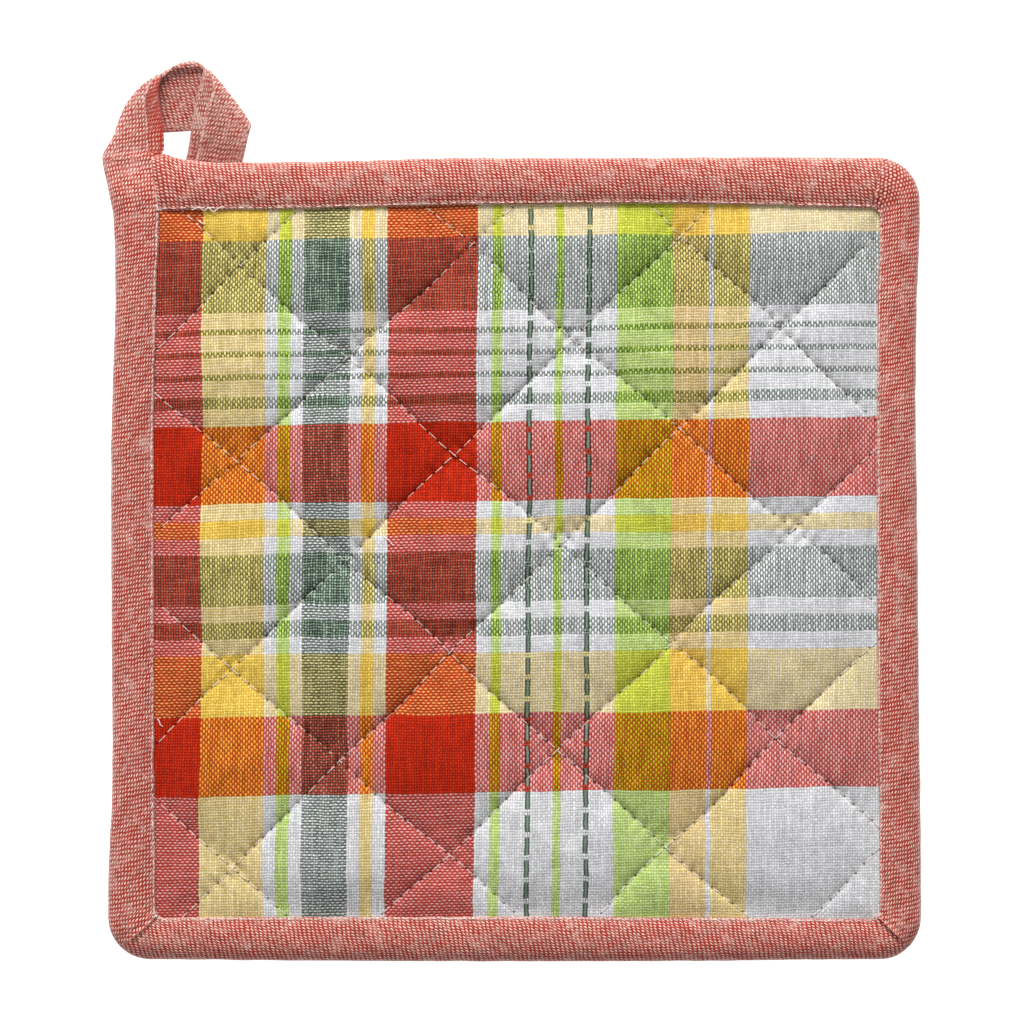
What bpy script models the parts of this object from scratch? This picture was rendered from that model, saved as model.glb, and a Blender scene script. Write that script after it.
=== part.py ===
"""A quilted cloth pot holder that lies on its back: filled pad, bound edge and hanging loop.

Units are metres and +Z is up. The origin is on the table, under the middle of the whole piece.
The front faces up, +Y points to the edge with the hanging loop, and +X is the right-hand edge.
The pad and its binding share one middle surface, and every height in them is measured from it.
"""

from collections import namedtuple
from math import cos, exp, hypot, pi, radians, sin

import bmesh
import bpy
from mathutils import Vector

# Heights: the middle surface of the cloth sandwich over the table
MIDDLE_HEIGHT = 0.0039
LOOP_LIFT = 0.0009  # the loop's end lies under the binding here and props it up
LOOP_LIFT_PLACE = Vector((-0.076, 0.082))
LOOP_LIFT_REACH = 0.045

# Pad: two panels and the filling, sewn flat along the quilting lines and in the bound edge
PAD_LEFT = -0.0950
PAD_RIGHT = 0.0970
PAD_TOP = 0.0833
PAD_BOTTOM = -0.1077
PAD_CORNER_RADIUS = 0.0080
OUTLINE_CUTS = 16  # the four sides and three cuts round each corner
FACE_LEFT = -0.0868  # the part of the pad that the binding leaves open
FACE_RIGHT = 0.0902
FACE_TOP = 0.0742
FACE_BOTTOM = -0.1001
SEWN_HALF = 0.0013  # half the thickness where the pad is sewn flat
PUFF_HALF = 0.0041  # half the thickness in the middle of a diamond
PUFF_ROUNDNESS = 0.6  # under 1, a diamond rises steeply at its seams and is flat on top
PUFF_PRESSED = 0.7  # a diamond's back touches the table where the crown is above this
EDGE_RISE = 0.0130  # from the binding to the full height of the filling
SHOULDER = 0.0040

# Quilting: straight lines of stitches in two directions, given by where each crosses x = 0
FALLING_SLOPE = 0.885  # these lines run down to the right
RISING_SLOPE = 0.960  # and these up to the right
FALLING_LINES = (0.2100, 0.1590, 0.1080, 0.0570, 0.0022, -0.0487, -0.0988, -0.1492, -0.2000)
RISING_LINES = (0.2210, 0.1720, 0.1236, 0.0744, 0.0283, -0.0205, -0.0705, -0.1219, -0.1730, -0.2240)
CELLS_PER_DIAMOND = 5

# Binding: where its outer and inner edges run along each side of the pad
EdgeRow = namedtuple("EdgeRow", "along outer inner")
TOP_EDGE = (
    EdgeRow(-0.0879, 0.0874, 0.0746),
    EdgeRow(-0.0623, 0.0865, 0.0748),
    EdgeRow(-0.0301, 0.0871, 0.0756),
    EdgeRow(-0.0152, 0.0876, 0.0760),
    EdgeRow(0.0269, 0.0876, 0.0764),
    EdgeRow(0.0591, 0.0878, 0.0761),
    EdgeRow(0.0864, 0.0877, 0.0753),
)
RIGHT_EDGE = (
    EdgeRow(0.0710, 0.1012, 0.0913),
    EdgeRow(0.0524, 0.1005, 0.0908),
    EdgeRow(0.0276, 0.1002, 0.0906),
    EdgeRow(-0.0021, 0.1006, 0.0906),
    EdgeRow(-0.0467, 0.1010, 0.0908),
    EdgeRow(-0.0876, 0.1015, 0.0913),
)
BOTTOM_EDGE = (
    EdgeRow(0.0839, -0.1110, -0.1010),
    EdgeRow(0.0442, -0.1114, -0.1007),
    EdgeRow(-0.0028, -0.1115, -0.1005),
    EdgeRow(-0.0549, -0.1113, -0.1006),
    EdgeRow(-0.0846, -0.1110, -0.1007),
)
LEFT_EDGE = (
    EdgeRow(-0.0925, -0.1000, -0.0883),
    EdgeRow(-0.0678, -0.0990, -0.0886),
    EdgeRow(-0.0219, -0.0992, -0.0887),
    EdgeRow(0.0202, -0.0992, -0.0887),
    EdgeRow(0.0524, -0.0982, -0.0881),
    EdgeRow(0.0735, -0.0987, -0.0873),
    EdgeRow(0.0821, -0.1005, -0.0880),
    EdgeRow(0.0871, -0.1015, -0.0886),
)
TOP_START = (-0.0882, -0.0866)  # at its outer and inner edge, beside the left side's strip
LEFT_END = (0.0871, 0.0871)
CORNER_RADIUS = 0.0105
INNER_CORNER_RADIUS = 0.0025
STEPS_PER_SIDE = 15
STEPS_PER_CORNER = 6

# Half of the binding's section: how far in from the outer edge, as a share of the binding's
# width, and how far from the middle surface. The other half is its mirror image.
SectionRow = namedtuple("SectionRow", "inward height")
BINDING_SKIN = (
    SectionRow(1.00, 0.0016),
    SectionRow(0.98, 0.0025),
    SectionRow(0.52, 0.0029),
    SectionRow(0.12, 0.0021),
)
BINDING_GROOVE = SectionRow(0.23, 0.0016)

# Hanging loop: the lines across the tape, from its outer edge to the edge beside the eye
TapeRow = namedtuple("TapeRow", "outer_x outer_y outer_z eye_x eye_y eye_z thick")
TAPE = (
    TapeRow(-0.1015, 0.0875, 0.0048, -0.0885, 0.0877, 0.0048, 0.0030),  # leaves the binding
    TapeRow(-0.1013, 0.0885, 0.0047, -0.0868, 0.0886, 0.0048, 0.0020),
    TapeRow(-0.1010, 0.0893, 0.0045, -0.0862, 0.0899, 0.0049, 0.0014),
    TapeRow(-0.1005, 0.0901, 0.0042, -0.0864, 0.0933, 0.0051, 0.0011),
    TapeRow(-0.1000, 0.0909, 0.0039, -0.0870, 0.0990, 0.0053, 0.0011),
    TapeRow(-0.0995, 0.0917, 0.0036, -0.0875, 0.1039, 0.0055, 0.0011),
    TapeRow(-0.0990, 0.0925, 0.0032, -0.0871, 0.1070, 0.0056, 0.0011),  # first fold, in front
    TapeRow(-0.0984, 0.0935, 0.0020, -0.0869, 0.1087, 0.0046, 0.0011),
    TapeRow(-0.0969, 0.0936, 0.0009, -0.0849, 0.1099, 0.0036, 0.0011),  # and behind
    TapeRow(-0.0921, 0.0942, 0.0007, -0.0834, 0.1106, 0.0034, 0.0011),
    TapeRow(-0.0829, 0.0948, 0.0007, -0.0812, 0.1112, 0.0033, 0.0011),
    TapeRow(-0.0735, 0.0955, 0.0007, -0.0789, 0.1114, 0.0034, 0.0011),
    TapeRow(-0.0665, 0.0960, 0.0009, -0.0773, 0.1108, 0.0036, 0.0011),  # second fold, behind
    TapeRow(-0.0649, 0.0959, 0.0020, -0.0767, 0.1099, 0.0046, 0.0011),
    TapeRow(-0.0650, 0.0949, 0.0031, -0.0768, 0.1083, 0.0056, 0.0011),  # and in front
    TapeRow(-0.0654, 0.0937, 0.0031, -0.0772, 0.1054, 0.0055, 0.0011),
    TapeRow(-0.0658, 0.0923, 0.0029, -0.0783, 0.1012, 0.0050, 0.0011),
    TapeRow(-0.0663, 0.0901, 0.0023, -0.0795, 0.0943, 0.0038, 0.0011),
    TapeRow(-0.0669, 0.0880, 0.0015, -0.0805, 0.0896, 0.0021, 0.0011),
    TapeRow(-0.0677, 0.0851, 0.0009, -0.0818, 0.0849, 0.0009, 0.0011),  # goes under the binding
    TapeRow(-0.0701, 0.0757, 0.0008, -0.0841, 0.0760, 0.0008, 0.0011),  # sewn end
)
STEPS_PER_TAPE_ROW = 2
TAPE_EDGE_ROUNDING = 0.4  # share of the thickness

# Colours and roughness of the cloths
Cloth = namedtuple("Cloth", "name colour roughness")
PLAID_COTTON = Cloth("plaid_cotton", (0.62, 0.52, 0.28, 1.0), 0.9)
RED_CHAMBRAY = Cloth("red_chambray", (0.58, 0.12, 0.09, 1.0), 0.9)


def clear_scene():
    for old in list(bpy.data.objects):
        bpy.data.objects.remove(old, do_unlink=True)


def cloth_material(cloth):
    material = bpy.data.materials.new(cloth.name)
    material.use_nodes = True
    shader = material.node_tree.nodes["Principled BSDF"]
    shader.inputs["Base Color"].default_value = cloth.colour
    shader.inputs["Roughness"].default_value = cloth.roughness
    shader.inputs["Metallic"].default_value = 0.0
    return material


def add_piece(name, shape, material):
    """Turn a closed bmesh into the object of one piece, with its faces pointing out."""
    shape.normal_update()  # the end caps are hollow outlines, which triangulate by their normals
    bmesh.ops.triangulate(shape, faces=shape.faces[:])
    bmesh.ops.recalc_face_normals(shape, faces=shape.faces[:])
    mesh = bpy.data.meshes.new(name)
    shape.to_mesh(mesh)
    shape.free()
    mesh.materials.append(material)
    mesh.shade_smooth()
    mesh.set_sharp_from_angle(angle=radians(50))
    piece = bpy.data.objects.new(name, mesh)
    bpy.context.scene.collection.objects.link(piece)
    return piece


def middle_surface(x, y):
    """Height of the middle of the cloth sandwich, a little higher where the loop props it up."""
    distance = hypot(x - LOOP_LIFT_PLACE.x, y - LOOP_LIFT_PLACE.y)
    return MIDDLE_HEIGHT + LOOP_LIFT * exp(-((distance / LOOP_LIFT_REACH) ** 2))


def between(values, share):
    """A Catmull-Rom curve through four values in a row, from the second to the third."""
    before, start, end, after = values
    slope_in = (end - before) / 2
    slope_out = (after - start) / 2
    square = share * share
    cube = square * share
    return (
        (2 * cube - 3 * square + 1) * start
        + (cube - 2 * square + share) * slope_in
        + (3 * square - 2 * cube) * end
        + (cube - square) * slope_out
    )


# Pad


def across_lines(value, lines):
    """0 on a quilting line and 1 halfway to the next one."""
    for upper, lower in zip(lines, lines[1:]):
        if value >= lower:
            return abs(sin(pi * (value - lower) / (upper - lower)))
    return 0.0


def crown(x, y):
    """How full the pad is at a place, from 0 in a seam to 1 in the middle of a diamond."""
    across_falling = across_lines(y + FALLING_SLOPE * x, FALLING_LINES)
    across_rising = across_lines(y - RISING_SLOPE * x, RISING_LINES)
    fullness = (across_falling * across_rising) ** PUFF_ROUNDNESS
    inside = min(x - FACE_LEFT, FACE_RIGHT - x, FACE_TOP - y, y - FACE_BOTTOM)
    rise = max(0.0, min(1.0, inside / EDGE_RISE))
    return fullness * sin(rise * pi / 2)


def pad_front(x, y):
    return middle_surface(x, y) + SEWN_HALF + (PUFF_HALF - SEWN_HALF) * crown(x, y)


def pad_back(x, y):
    """The back is puffed as well, but the table presses each puff flat."""
    down = (MIDDLE_HEIGHT - SEWN_HALF) * min(1.0, crown(x, y) / PUFF_PRESSED)
    return middle_surface(x, y) - SEWN_HALF - down


def divided(lines):
    """The quilting lines and evenly spaced lines between them."""
    fine = []
    for upper, lower in zip(lines, lines[1:]):
        for cell in range(CELLS_PER_DIAMOND):
            fine.append(upper + (lower - upper) * cell / CELLS_PER_DIAMOND)
    fine.append(lines[-1])
    return fine


def pad_plan():
    """The pad seen from above: a net that follows the quilting, cut to the pad's outline."""
    plan = bmesh.new()
    net = []
    for falling in divided(FALLING_LINES):
        row = []
        for rising in divided(RISING_LINES):
            x = (falling - rising) / (FALLING_SLOPE + RISING_SLOPE)
            row.append(plan.verts.new((x, falling - FALLING_SLOPE * x, 0.0)))
        net.append(row)
    for row, next_row in zip(net, net[1:]):
        for corner in range(len(row) - 1):
            plan.faces.new((row[corner], next_row[corner], next_row[corner + 1], row[corner + 1]))
    for place, outward in outline_cuts():
        cut_plan(plan, place, outward, drop_outside=True)
    for inset in (0.0, SHOULDER):
        cut_plan(plan, (FACE_LEFT + inset, 0, 0), (1, 0, 0))
        cut_plan(plan, (FACE_RIGHT - inset, 0, 0), (1, 0, 0))
        cut_plan(plan, (0, FACE_TOP - inset, 0), (0, 1, 0))
        cut_plan(plan, (0, FACE_BOTTOM + inset, 0), (0, 1, 0))
    bmesh.ops.remove_doubles(plan, verts=plan.verts[:], dist=0.0004)
    bmesh.ops.triangulate(plan, faces=plan.faces[:])
    return plan


def cut_plan(plan, place, direction, drop_outside=False):
    everything = plan.verts[:] + plan.edges[:] + plan.faces[:]
    bmesh.ops.bisect_plane(
        plan, geom=everything, plane_co=place, plane_no=direction, clear_outer=drop_outside
    )


def outline_cuts():
    """Straight cuts that leave the pad's outline, each with a place on it and its way out."""
    centre_x = (PAD_LEFT + PAD_RIGHT) / 2
    centre_y = (PAD_TOP + PAD_BOTTOM) / 2
    half_width = (PAD_RIGHT - PAD_LEFT) / 2 - PAD_CORNER_RADIUS
    half_height = (PAD_TOP - PAD_BOTTOM) / 2 - PAD_CORNER_RADIUS
    cuts = []
    for step in range(OUTLINE_CUTS):
        angle = step * 2 * pi / OUTLINE_CUTS
        outward = Vector((cos(angle), sin(angle), 0))
        corner_x = half_width if outward.x > 0 else -half_width
        corner_y = half_height if outward.y > 0 else -half_height
        place = Vector((centre_x + corner_x, centre_y + corner_y, 0)) + outward * PAD_CORNER_RADIUS
        cuts.append((place, outward))
    return cuts


def make_quilted_pad():
    """Front, back and filling as one body: two copies of the plan, closed round the edge."""
    plan = pad_plan()
    pad = bmesh.new()
    front = {}
    back = {}
    for vert in plan.verts:
        x, y = vert.co.x, vert.co.y
        front[vert] = pad.verts.new((x, y, pad_front(x, y)))
        back[vert] = pad.verts.new((x, y, pad_back(x, y)))
    for face in plan.faces:
        pad.faces.new([front[vert] for vert in face.verts])
        pad.faces.new([back[vert] for vert in reversed(face.verts)])
    for edge in plan.edges:
        if edge.is_boundary:
            start, end = edge.verts
            pad.faces.new((front[start], front[end], back[end], back[start]))
    plan.free()
    return add_piece("quilted_pad", pad, cloth_material(PLAID_COTTON))


# Binding


def edge_place(rows, along, column):
    """Read a side's outer or inner edge at a place along it, as a smooth curve."""
    flip = 1 if rows[-1].along > rows[0].along else -1
    last = len(rows) - 1
    index = 0
    while index < last - 1 and (along - rows[index + 1].along) * flip > 0:
        index += 1
    span = rows[index + 1].along - rows[index].along
    share = max(0.0, min(1.0, (along - rows[index].along) / span))
    near = [getattr(rows[max(0, min(last, index + step))], column) for step in (-1, 0, 1, 2)]
    return between(near, share)


def side_stations(rows, start, end, horizontal):
    """Pairs of outer and inner edge points along one side; start and end are such pairs."""
    stations = []
    for step in range(STEPS_PER_SIDE + 1):
        share = step / STEPS_PER_SIDE
        pair = []
        for column, first, last in (("outer", start[0], end[0]), ("inner", start[1], end[1])):
            along = first + (last - first) * share
            place = edge_place(rows, along, column)
            pair.append(Vector((along, place) if horizontal else (place, along)))
        stations.append(tuple(pair))
    return stations


def corner_stations(before, after, turn_x, turn_y):
    """Pairs round a corner between two sides: a wide outer arc and a tight inner one.

    turn_x and turn_y are +1 or -1 and say which corner it is.
    """
    stations = []
    first_angle = {(1, 1): 90, (1, -1): 0, (-1, -1): -90}[turn_x, turn_y]
    for step in range(1, STEPS_PER_CORNER):
        angle = radians(first_angle - 90 * step / STEPS_PER_CORNER)
        pair = []
        for which, radius in ((0, CORNER_RADIUS), (1, INNER_CORNER_RADIUS)):
            far_x = before[which].x if turn_x * turn_y < 0 else after[which].x
            far_y = after[which].y if turn_x * turn_y < 0 else before[which].y
            centre = Vector((far_x - turn_x * radius, far_y - turn_y * radius))
            pair.append(centre + radius * Vector((cos(angle), sin(angle))))
        stations.append(tuple(pair))
    return stations


def binding_stations():
    """Pairs of outer and inner edge points, clockwise from the left end of the top side."""
    reach = (CORNER_RADIUS, INNER_CORNER_RADIUS)
    right = (RIGHT_EDGE[0].outer, RIGHT_EDGE[0].inner)
    top = (TOP_EDGE[-1].outer, TOP_EDGE[-1].inner)
    low_right = (RIGHT_EDGE[-1].outer, RIGHT_EDGE[-1].inner)
    bottom_right = (BOTTOM_EDGE[0].outer, BOTTOM_EDGE[0].inner)
    bottom_left = (BOTTOM_EDGE[-1].outer, BOTTOM_EDGE[-1].inner)
    left = (LEFT_EDGE[0].outer, LEFT_EDGE[0].inner)
    top_ends = [far - back for far, back in zip(right, reach)]
    right_starts = [far - back for far, back in zip(top, reach)]
    right_ends = [far + back for far, back in zip(bottom_right, reach)]
    bottom_starts = [far - back for far, back in zip(low_right, reach)]
    bottom_ends = [far + back for far, back in zip(left, reach)]
    left_starts = [far + back for far, back in zip(bottom_left, reach)]

    top_side = side_stations(TOP_EDGE, TOP_START, top_ends, horizontal=True)
    right_side = side_stations(RIGHT_EDGE, right_starts, right_ends, horizontal=False)
    bottom_side = side_stations(BOTTOM_EDGE, bottom_starts, bottom_ends, horizontal=True)
    left_side = side_stations(LEFT_EDGE, left_starts, LEFT_END, horizontal=False)
    return (
        top_side
        + corner_stations(top_side[-1], right_side[0], 1, 1)
        + right_side
        + corner_stations(right_side[-1], bottom_side[0], 1, -1)
        + bottom_side
        + corner_stations(bottom_side[-1], left_side[0], -1, -1)
        + left_side
    )


def binding_section():
    """The closed outline of the folded strip: over the front, round the edge, under the back."""
    front = list(BINDING_SKIN)
    back = [SectionRow(row.inward, -row.height) for row in reversed(BINDING_SKIN)]
    groove = BINDING_GROOVE
    floor = [SectionRow(groove.inward, -groove.height), groove]
    return front + [SectionRow(0.0, 0.0)] + back + floor


def loft(rings):
    """A closed body through a row of equal rings, with a flat cap on each end."""
    body = bmesh.new()
    loops = [[body.verts.new(point) for point in ring] for ring in rings]
    for ring, next_ring in zip(loops, loops[1:]):
        for corner, start in enumerate(ring):
            after = (corner + 1) % len(ring)
            body.faces.new((start, ring[after], next_ring[after], next_ring[corner]))
    body.faces.new(list(reversed(loops[0])))
    body.faces.new(loops[-1])
    return body


def make_binding():
    rings = []
    for outer, inner in binding_stations():
        ring = []
        for row in binding_section():
            place = outer.lerp(inner, row.inward)
            ring.append((place.x, place.y, middle_surface(place.x, place.y) + row.height))
        rings.append(ring)
    return add_piece("binding", loft(rings), cloth_material(RED_CHAMBRAY))


# Hanging loop


def tape_row(position):
    """The line across the tape at a place along it, read as a smooth curve through the rows."""
    last = len(TAPE) - 1
    index = min(int(position), last - 1)
    near = [TAPE[max(0, min(last, index + step))] for step in (-1, 0, 1, 2)]
    return TapeRow(*(between(column, position - index) for column in zip(*near)))


def tape_line(position):
    row = tape_row(position)
    outer = Vector((row.outer_x, row.outer_y, row.outer_z))
    eye = Vector((row.eye_x, row.eye_y, row.eye_z))
    return outer, eye, row.thick


def tape_ring(position, length):
    """The tape's section: a flat strip with eased edges, square to the way the tape runs."""
    outer, eye, thick = tape_line(position)
    step = 1 / STEPS_PER_TAPE_ROW
    behind = tape_line(max(0.0, position - step))
    ahead = tape_line(min(length, position + step))
    run = (ahead[0] + ahead[1]) - (behind[0] + behind[1])
    across = eye - outer
    normal = across.cross(run).normalized()
    across.normalize()
    ease = across * thick * TAPE_EDGE_ROUNDING
    high = normal * thick / 2
    low = high / 2
    return [
        outer + ease + high,
        eye - ease + high,
        eye + low,
        eye - low,
        eye - ease - high,
        outer + ease - high,
        outer - low,
        outer + low,
    ]


def make_hanging_loop():
    length = len(TAPE) - 1
    steps = length * STEPS_PER_TAPE_ROW
    rings = [tape_ring(step / STEPS_PER_TAPE_ROW, length) for step in range(steps + 1)]
    return add_piece("hanging_loop", loft(rings), cloth_material(RED_CHAMBRAY))


clear_scene()
make_quilted_pad()
make_binding()
make_hanging_loop()
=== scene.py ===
"""The looks of a quilted cloth pot holder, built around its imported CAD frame.

Lengths are in metres. +Z is up out of the patterned front, +Y points to the edge with the hanging
loop and +X to the right of the front. It lies on its back on the table at z = 0.
"""

from math import copysign, cos, exp, pi, radians, sin, sqrt

import bmesh
import bpy
import numpy as np
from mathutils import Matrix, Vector, noise


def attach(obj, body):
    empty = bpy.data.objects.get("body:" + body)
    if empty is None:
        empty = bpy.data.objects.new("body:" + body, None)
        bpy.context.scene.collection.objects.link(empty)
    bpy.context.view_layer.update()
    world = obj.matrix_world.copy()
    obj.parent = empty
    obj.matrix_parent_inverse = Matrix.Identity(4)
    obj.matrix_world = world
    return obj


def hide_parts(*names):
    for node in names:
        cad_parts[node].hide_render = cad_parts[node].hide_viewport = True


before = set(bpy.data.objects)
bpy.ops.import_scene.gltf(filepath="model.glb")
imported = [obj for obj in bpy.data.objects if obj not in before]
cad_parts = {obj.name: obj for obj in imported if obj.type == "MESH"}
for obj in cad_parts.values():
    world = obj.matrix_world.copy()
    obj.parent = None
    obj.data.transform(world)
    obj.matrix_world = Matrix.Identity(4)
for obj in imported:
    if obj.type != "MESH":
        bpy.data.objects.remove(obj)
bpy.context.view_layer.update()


# ---------------------------------------------------------------------------
# Camera: looks straight down on the front, as the photograph does, with the
# top edge at the top. A long lens, so the edges hardly show in perspective.
# ---------------------------------------------------------------------------

CAMERA_HEIGHT = 0.7099
LENS_MM = 100

camera = bpy.data.objects.new("camera", bpy.data.cameras.new("camera"))
camera.location = (0.00012, -0.00012, CAMERA_HEIGHT)
camera.data.lens = LENS_MM
camera.data.sensor_width = 36
camera.data.clip_start = 0.01
bpy.context.scene.collection.objects.link(camera)
bpy.context.scene.camera = camera


# ---------------------------------------------------------------------------
# Quilted pad: a front and a back panel of plaid cotton with wadding between,
# sewn through on slanting lines. The filling crowns each diamond; the seams
# are drawn in to half that thickness, and the table presses the back flat.
# ---------------------------------------------------------------------------

MIDDLE_HEIGHT = 0.0039  # of the middle of the filling, over the table
LOOP_LIFT = 0.0009  # the sewn end of the loop props the corner up
LOOP_LIFT_PLACE = (-0.076, 0.082)
LOOP_LIFT_REACH = 0.045

PAD_LEFT = -0.0950
PAD_RIGHT = 0.0970
PAD_TOP = 0.0833
PAD_BOTTOM = -0.1077
PAD_CORNER_RADIUS = 0.0080
FACE_LEFT = -0.0878  # what the binding leaves open
FACE_RIGHT = 0.0905
FACE_TOP = 0.0752
FACE_BOTTOM = -0.1006
SEWN_HALF = 0.0013  # half of the thickness in a seam
PUFF_HALF = 0.0041  # and at the crown of a diamond
PUFF_ROUNDNESS = 0.50
SEAM_SOFTNESS = 0.030  # rounds the bottom of the channel
PUFF_PRESSED = 0.7  # share of a crown's height from which the back lies on the table
LOWEST = 0.00002  # of the back, over the table
EDGE_RISE = 0.0120  # from the binding to where the filling has its full height
SEAM_PUCKER = 0.00024  # height of the cloth drawn in at a needle hole
PUCKER_REACH = 0.0024
LONG_FOLD = 0.00065  # height of the folds that run out from a seam
FOLD_START = 0.0011
FOLD_REACH = 0.0065
FULLNESS_SPREAD = 0.07  # share by which some diamonds are filled more than others
STITCH_PITCH = 0.0032
CELLS_PER_DIAMOND = 42
CELL_BUNCHING = 0.45  # share by which cells are narrower at a seam

# Slack in the cloth on a crown: width, length, seed and height of its dents
SLACK = ((0.013, 0.013, 4.0, 0.00035), (0.005, 0.007, 9.0, 0.00012))

# Quilting lines: where each crosses x = 0, and how steep it is
FALLING_LINES = (
    (0.2100, 0.930), (0.1590, 0.930), (0.1080, 0.941), (0.0570, 0.885), (0.0022, 0.881),
    (-0.0487, 0.889), (-0.0988, 0.870), (-0.1495, 0.880), (-0.2000, 0.885),
)
RISING_LINES = (
    (0.2210, 0.960), (0.1720, 0.960), (0.1247, 0.955), (0.0745, 0.915), (0.0283, 0.970),
    (-0.0205, 0.976), (-0.0705, 0.950), (-0.1210, 0.990), (-0.1725, 0.970), (-0.2240, 0.960),
)


def middle_surface(x, y):
    """Height of the middle of the filling over the table."""
    distance = np.hypot(x - LOOP_LIFT_PLACE[0], y - LOOP_LIFT_PLACE[1])
    return MIDDLE_HEIGHT + LOOP_LIFT * np.exp(-((distance / LOOP_LIFT_REACH) ** 2))


def wander(x, y):
    """The quilting was guided by hand: how far a place on a seam strays from the ruled line."""
    stray_x = 0.00045 * np.sin(x * 97 + y * 61 + 0.6) + 0.00025 * np.sin(y * 210 - x * 40)
    stray_y = 0.00045 * np.sin(y * 88 - x * 73 + 2.1) + 0.00025 * np.sin(x * 190 + y * 55)
    return x + stray_x, y + stray_y


def dents(across, along, depth):
    """Soft irregular dents, from -1 to 1; the three numbers are places in dent widths."""
    across, along = np.broadcast_arrays(across, along)
    values = [noise.noise((one, other, depth)) for one, other in zip(across.flat, along.flat)]
    return np.array(values).reshape(across.shape)


def fine_lines(lines):
    """The quilting lines and the lines of the net between them.

    Each row holds offset, slope, share of the way to the next seam, and the seam before it.
    """
    steps = np.arange(CELLS_PER_DIAMOND) / CELLS_PER_DIAMOND
    shares = steps - CELL_BUNCHING * np.sin(2 * pi * steps) / (2 * pi)
    lines = np.array(lines)
    rows = []
    for seam, (start, end) in enumerate(zip(lines, lines[1:])):
        rows.extend((*(start + (end - start) * share), share, seam) for share in shares)
    rows.append((*lines[-1], 0.0, len(lines) - 1))
    return np.array(rows)


def stitch_phase(family, seam):
    """Where the first needle hole of a seam is, as a share of the pitch."""
    return (0.37 * seam + 0.21 * family) % 1.0


def beside_seam(x, y, lines, net, flip, family):
    """How far a net point is from the nearest seam of one family, how far along it, and which."""
    nearest = np.rint(net[3] + net[2]).astype(int)
    offsets, slopes = np.array(lines).T[:, nearest]
    slopes = flip * slopes
    length = np.sqrt(1 + slopes**2)
    across = np.abs(y - offsets - slopes * x) / length
    along = (x + slopes * (y - offsets)) / length
    return across, along - stitch_phase(family, nearest) * STITCH_PITCH, nearest


def to_outline(x, y):
    """The nearest place on the pad's rounded outline, and how far inside it the point is."""
    centre_x = (PAD_LEFT + PAD_RIGHT) / 2
    centre_y = (PAD_TOP + PAD_BOTTOM) / 2
    straight_x = (PAD_RIGHT - PAD_LEFT) / 2 - PAD_CORNER_RADIUS
    straight_y = (PAD_TOP - PAD_BOTTOM) / 2 - PAD_CORNER_RADIUS
    out_x = np.abs(x - centre_x) - straight_x
    out_y = np.abs(y - centre_y) - straight_y
    reach = np.hypot(np.maximum(out_x, 0), np.maximum(out_y, 0))
    inside = PAD_CORNER_RADIUS - np.maximum(reach, np.maximum(out_x, out_y))
    in_corner = (out_x > 0) & (out_y > 0)
    grow = PAD_CORNER_RADIUS / np.maximum(reach, 1e-9)
    by_side = out_x > out_y
    edge_x = np.where(in_corner, out_x * grow, np.where(by_side, PAD_CORNER_RADIUS, out_x))
    edge_y = np.where(in_corner, out_y * grow, np.where(by_side, out_y, PAD_CORNER_RADIUS))
    edge_x = centre_x + np.sign(x - centre_x) * (straight_x + edge_x)
    edge_y = centre_y + np.sign(y - centre_y) * (straight_y + edge_y)
    return edge_x, edge_y, inside


def inside_face(x, y):
    """How far inside the edges of the binding a place is; under the binding it is below 0."""
    return np.min([x - FACE_LEFT, FACE_RIGHT - x, FACE_TOP - y, y - FACE_BOTTOM], axis=0)


def seam_puckers(across, along, seam, family):
    """Cloth drawn in at each needle hole, and longer folds that run out from the seam."""
    place = along / STITCH_PITCH
    unrest = dents(place * 0.31, seam * 5.0 + 40 * family, 0.3)
    drawn = -np.cos(2 * pi * place + 1.6 * unrest) * np.exp(-across / PUCKER_REACH) * (0.8 + unrest)
    long_folds = dents(place * 0.62, seam * 7.0 + 90 * family, 1.7)
    reach = np.exp(-across / FOLD_REACH) * (1 - np.exp(-across / FOLD_START))
    return SEAM_PUCKER * drawn + LONG_FOLD * long_folds * reach


def cell_corners(values):
    """The values at the four corners of each cell of the net, in order round the cell."""
    return values[:-1, :-1], values[1:, :-1], values[1:, 1:], values[:-1, 1:]


# The net of cells: each falling line crosses each rising one
falling = fine_lines(FALLING_LINES).T[:, :, None]
rising = fine_lines(RISING_LINES).T[:, None, :]
ruled_x = (falling[0] - rising[0]) / (falling[1] + rising[1])
ruled_y = falling[0] - falling[1] * ruled_x
plan_x, plan_y = wander(ruled_x, ruled_y)
seam_families = (
    ("falling_seam", FALLING_LINES, falling, -1),
    ("rising_seam", RISING_LINES, rising, 1),
)
seam_places = [
    beside_seam(ruled_x, ruled_y, lines, net, flip, family)
    for family, (_, lines, net, flip) in enumerate(seam_families)
]

# Cells whose middle is on the pad stay, and their outermost corners move on to its outline
middles = [sum(cell_corners(plan)) / 4 for plan in (plan_x, plan_y)]
on_pad = to_outline(*middles)[2] > 0
number = np.arange(plan_x.size).reshape(plan_x.shape)
cells = np.stack([corner[on_pad] for corner in cell_corners(number)], axis=1)
used, cells = np.unique(cells, return_inverse=True)
cells = cells.reshape(-1, 4)
edges = np.concatenate([cells[:, [side, (side + 1) % 4]] for side in range(4)])
_, first, count = np.unique(np.sort(edges, axis=1), axis=0, return_index=True, return_counts=True)
rim = edges[first[count == 1]]


def at_points(values):
    """The net's values at the points that the pad uses."""
    return values.flat[used]


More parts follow.
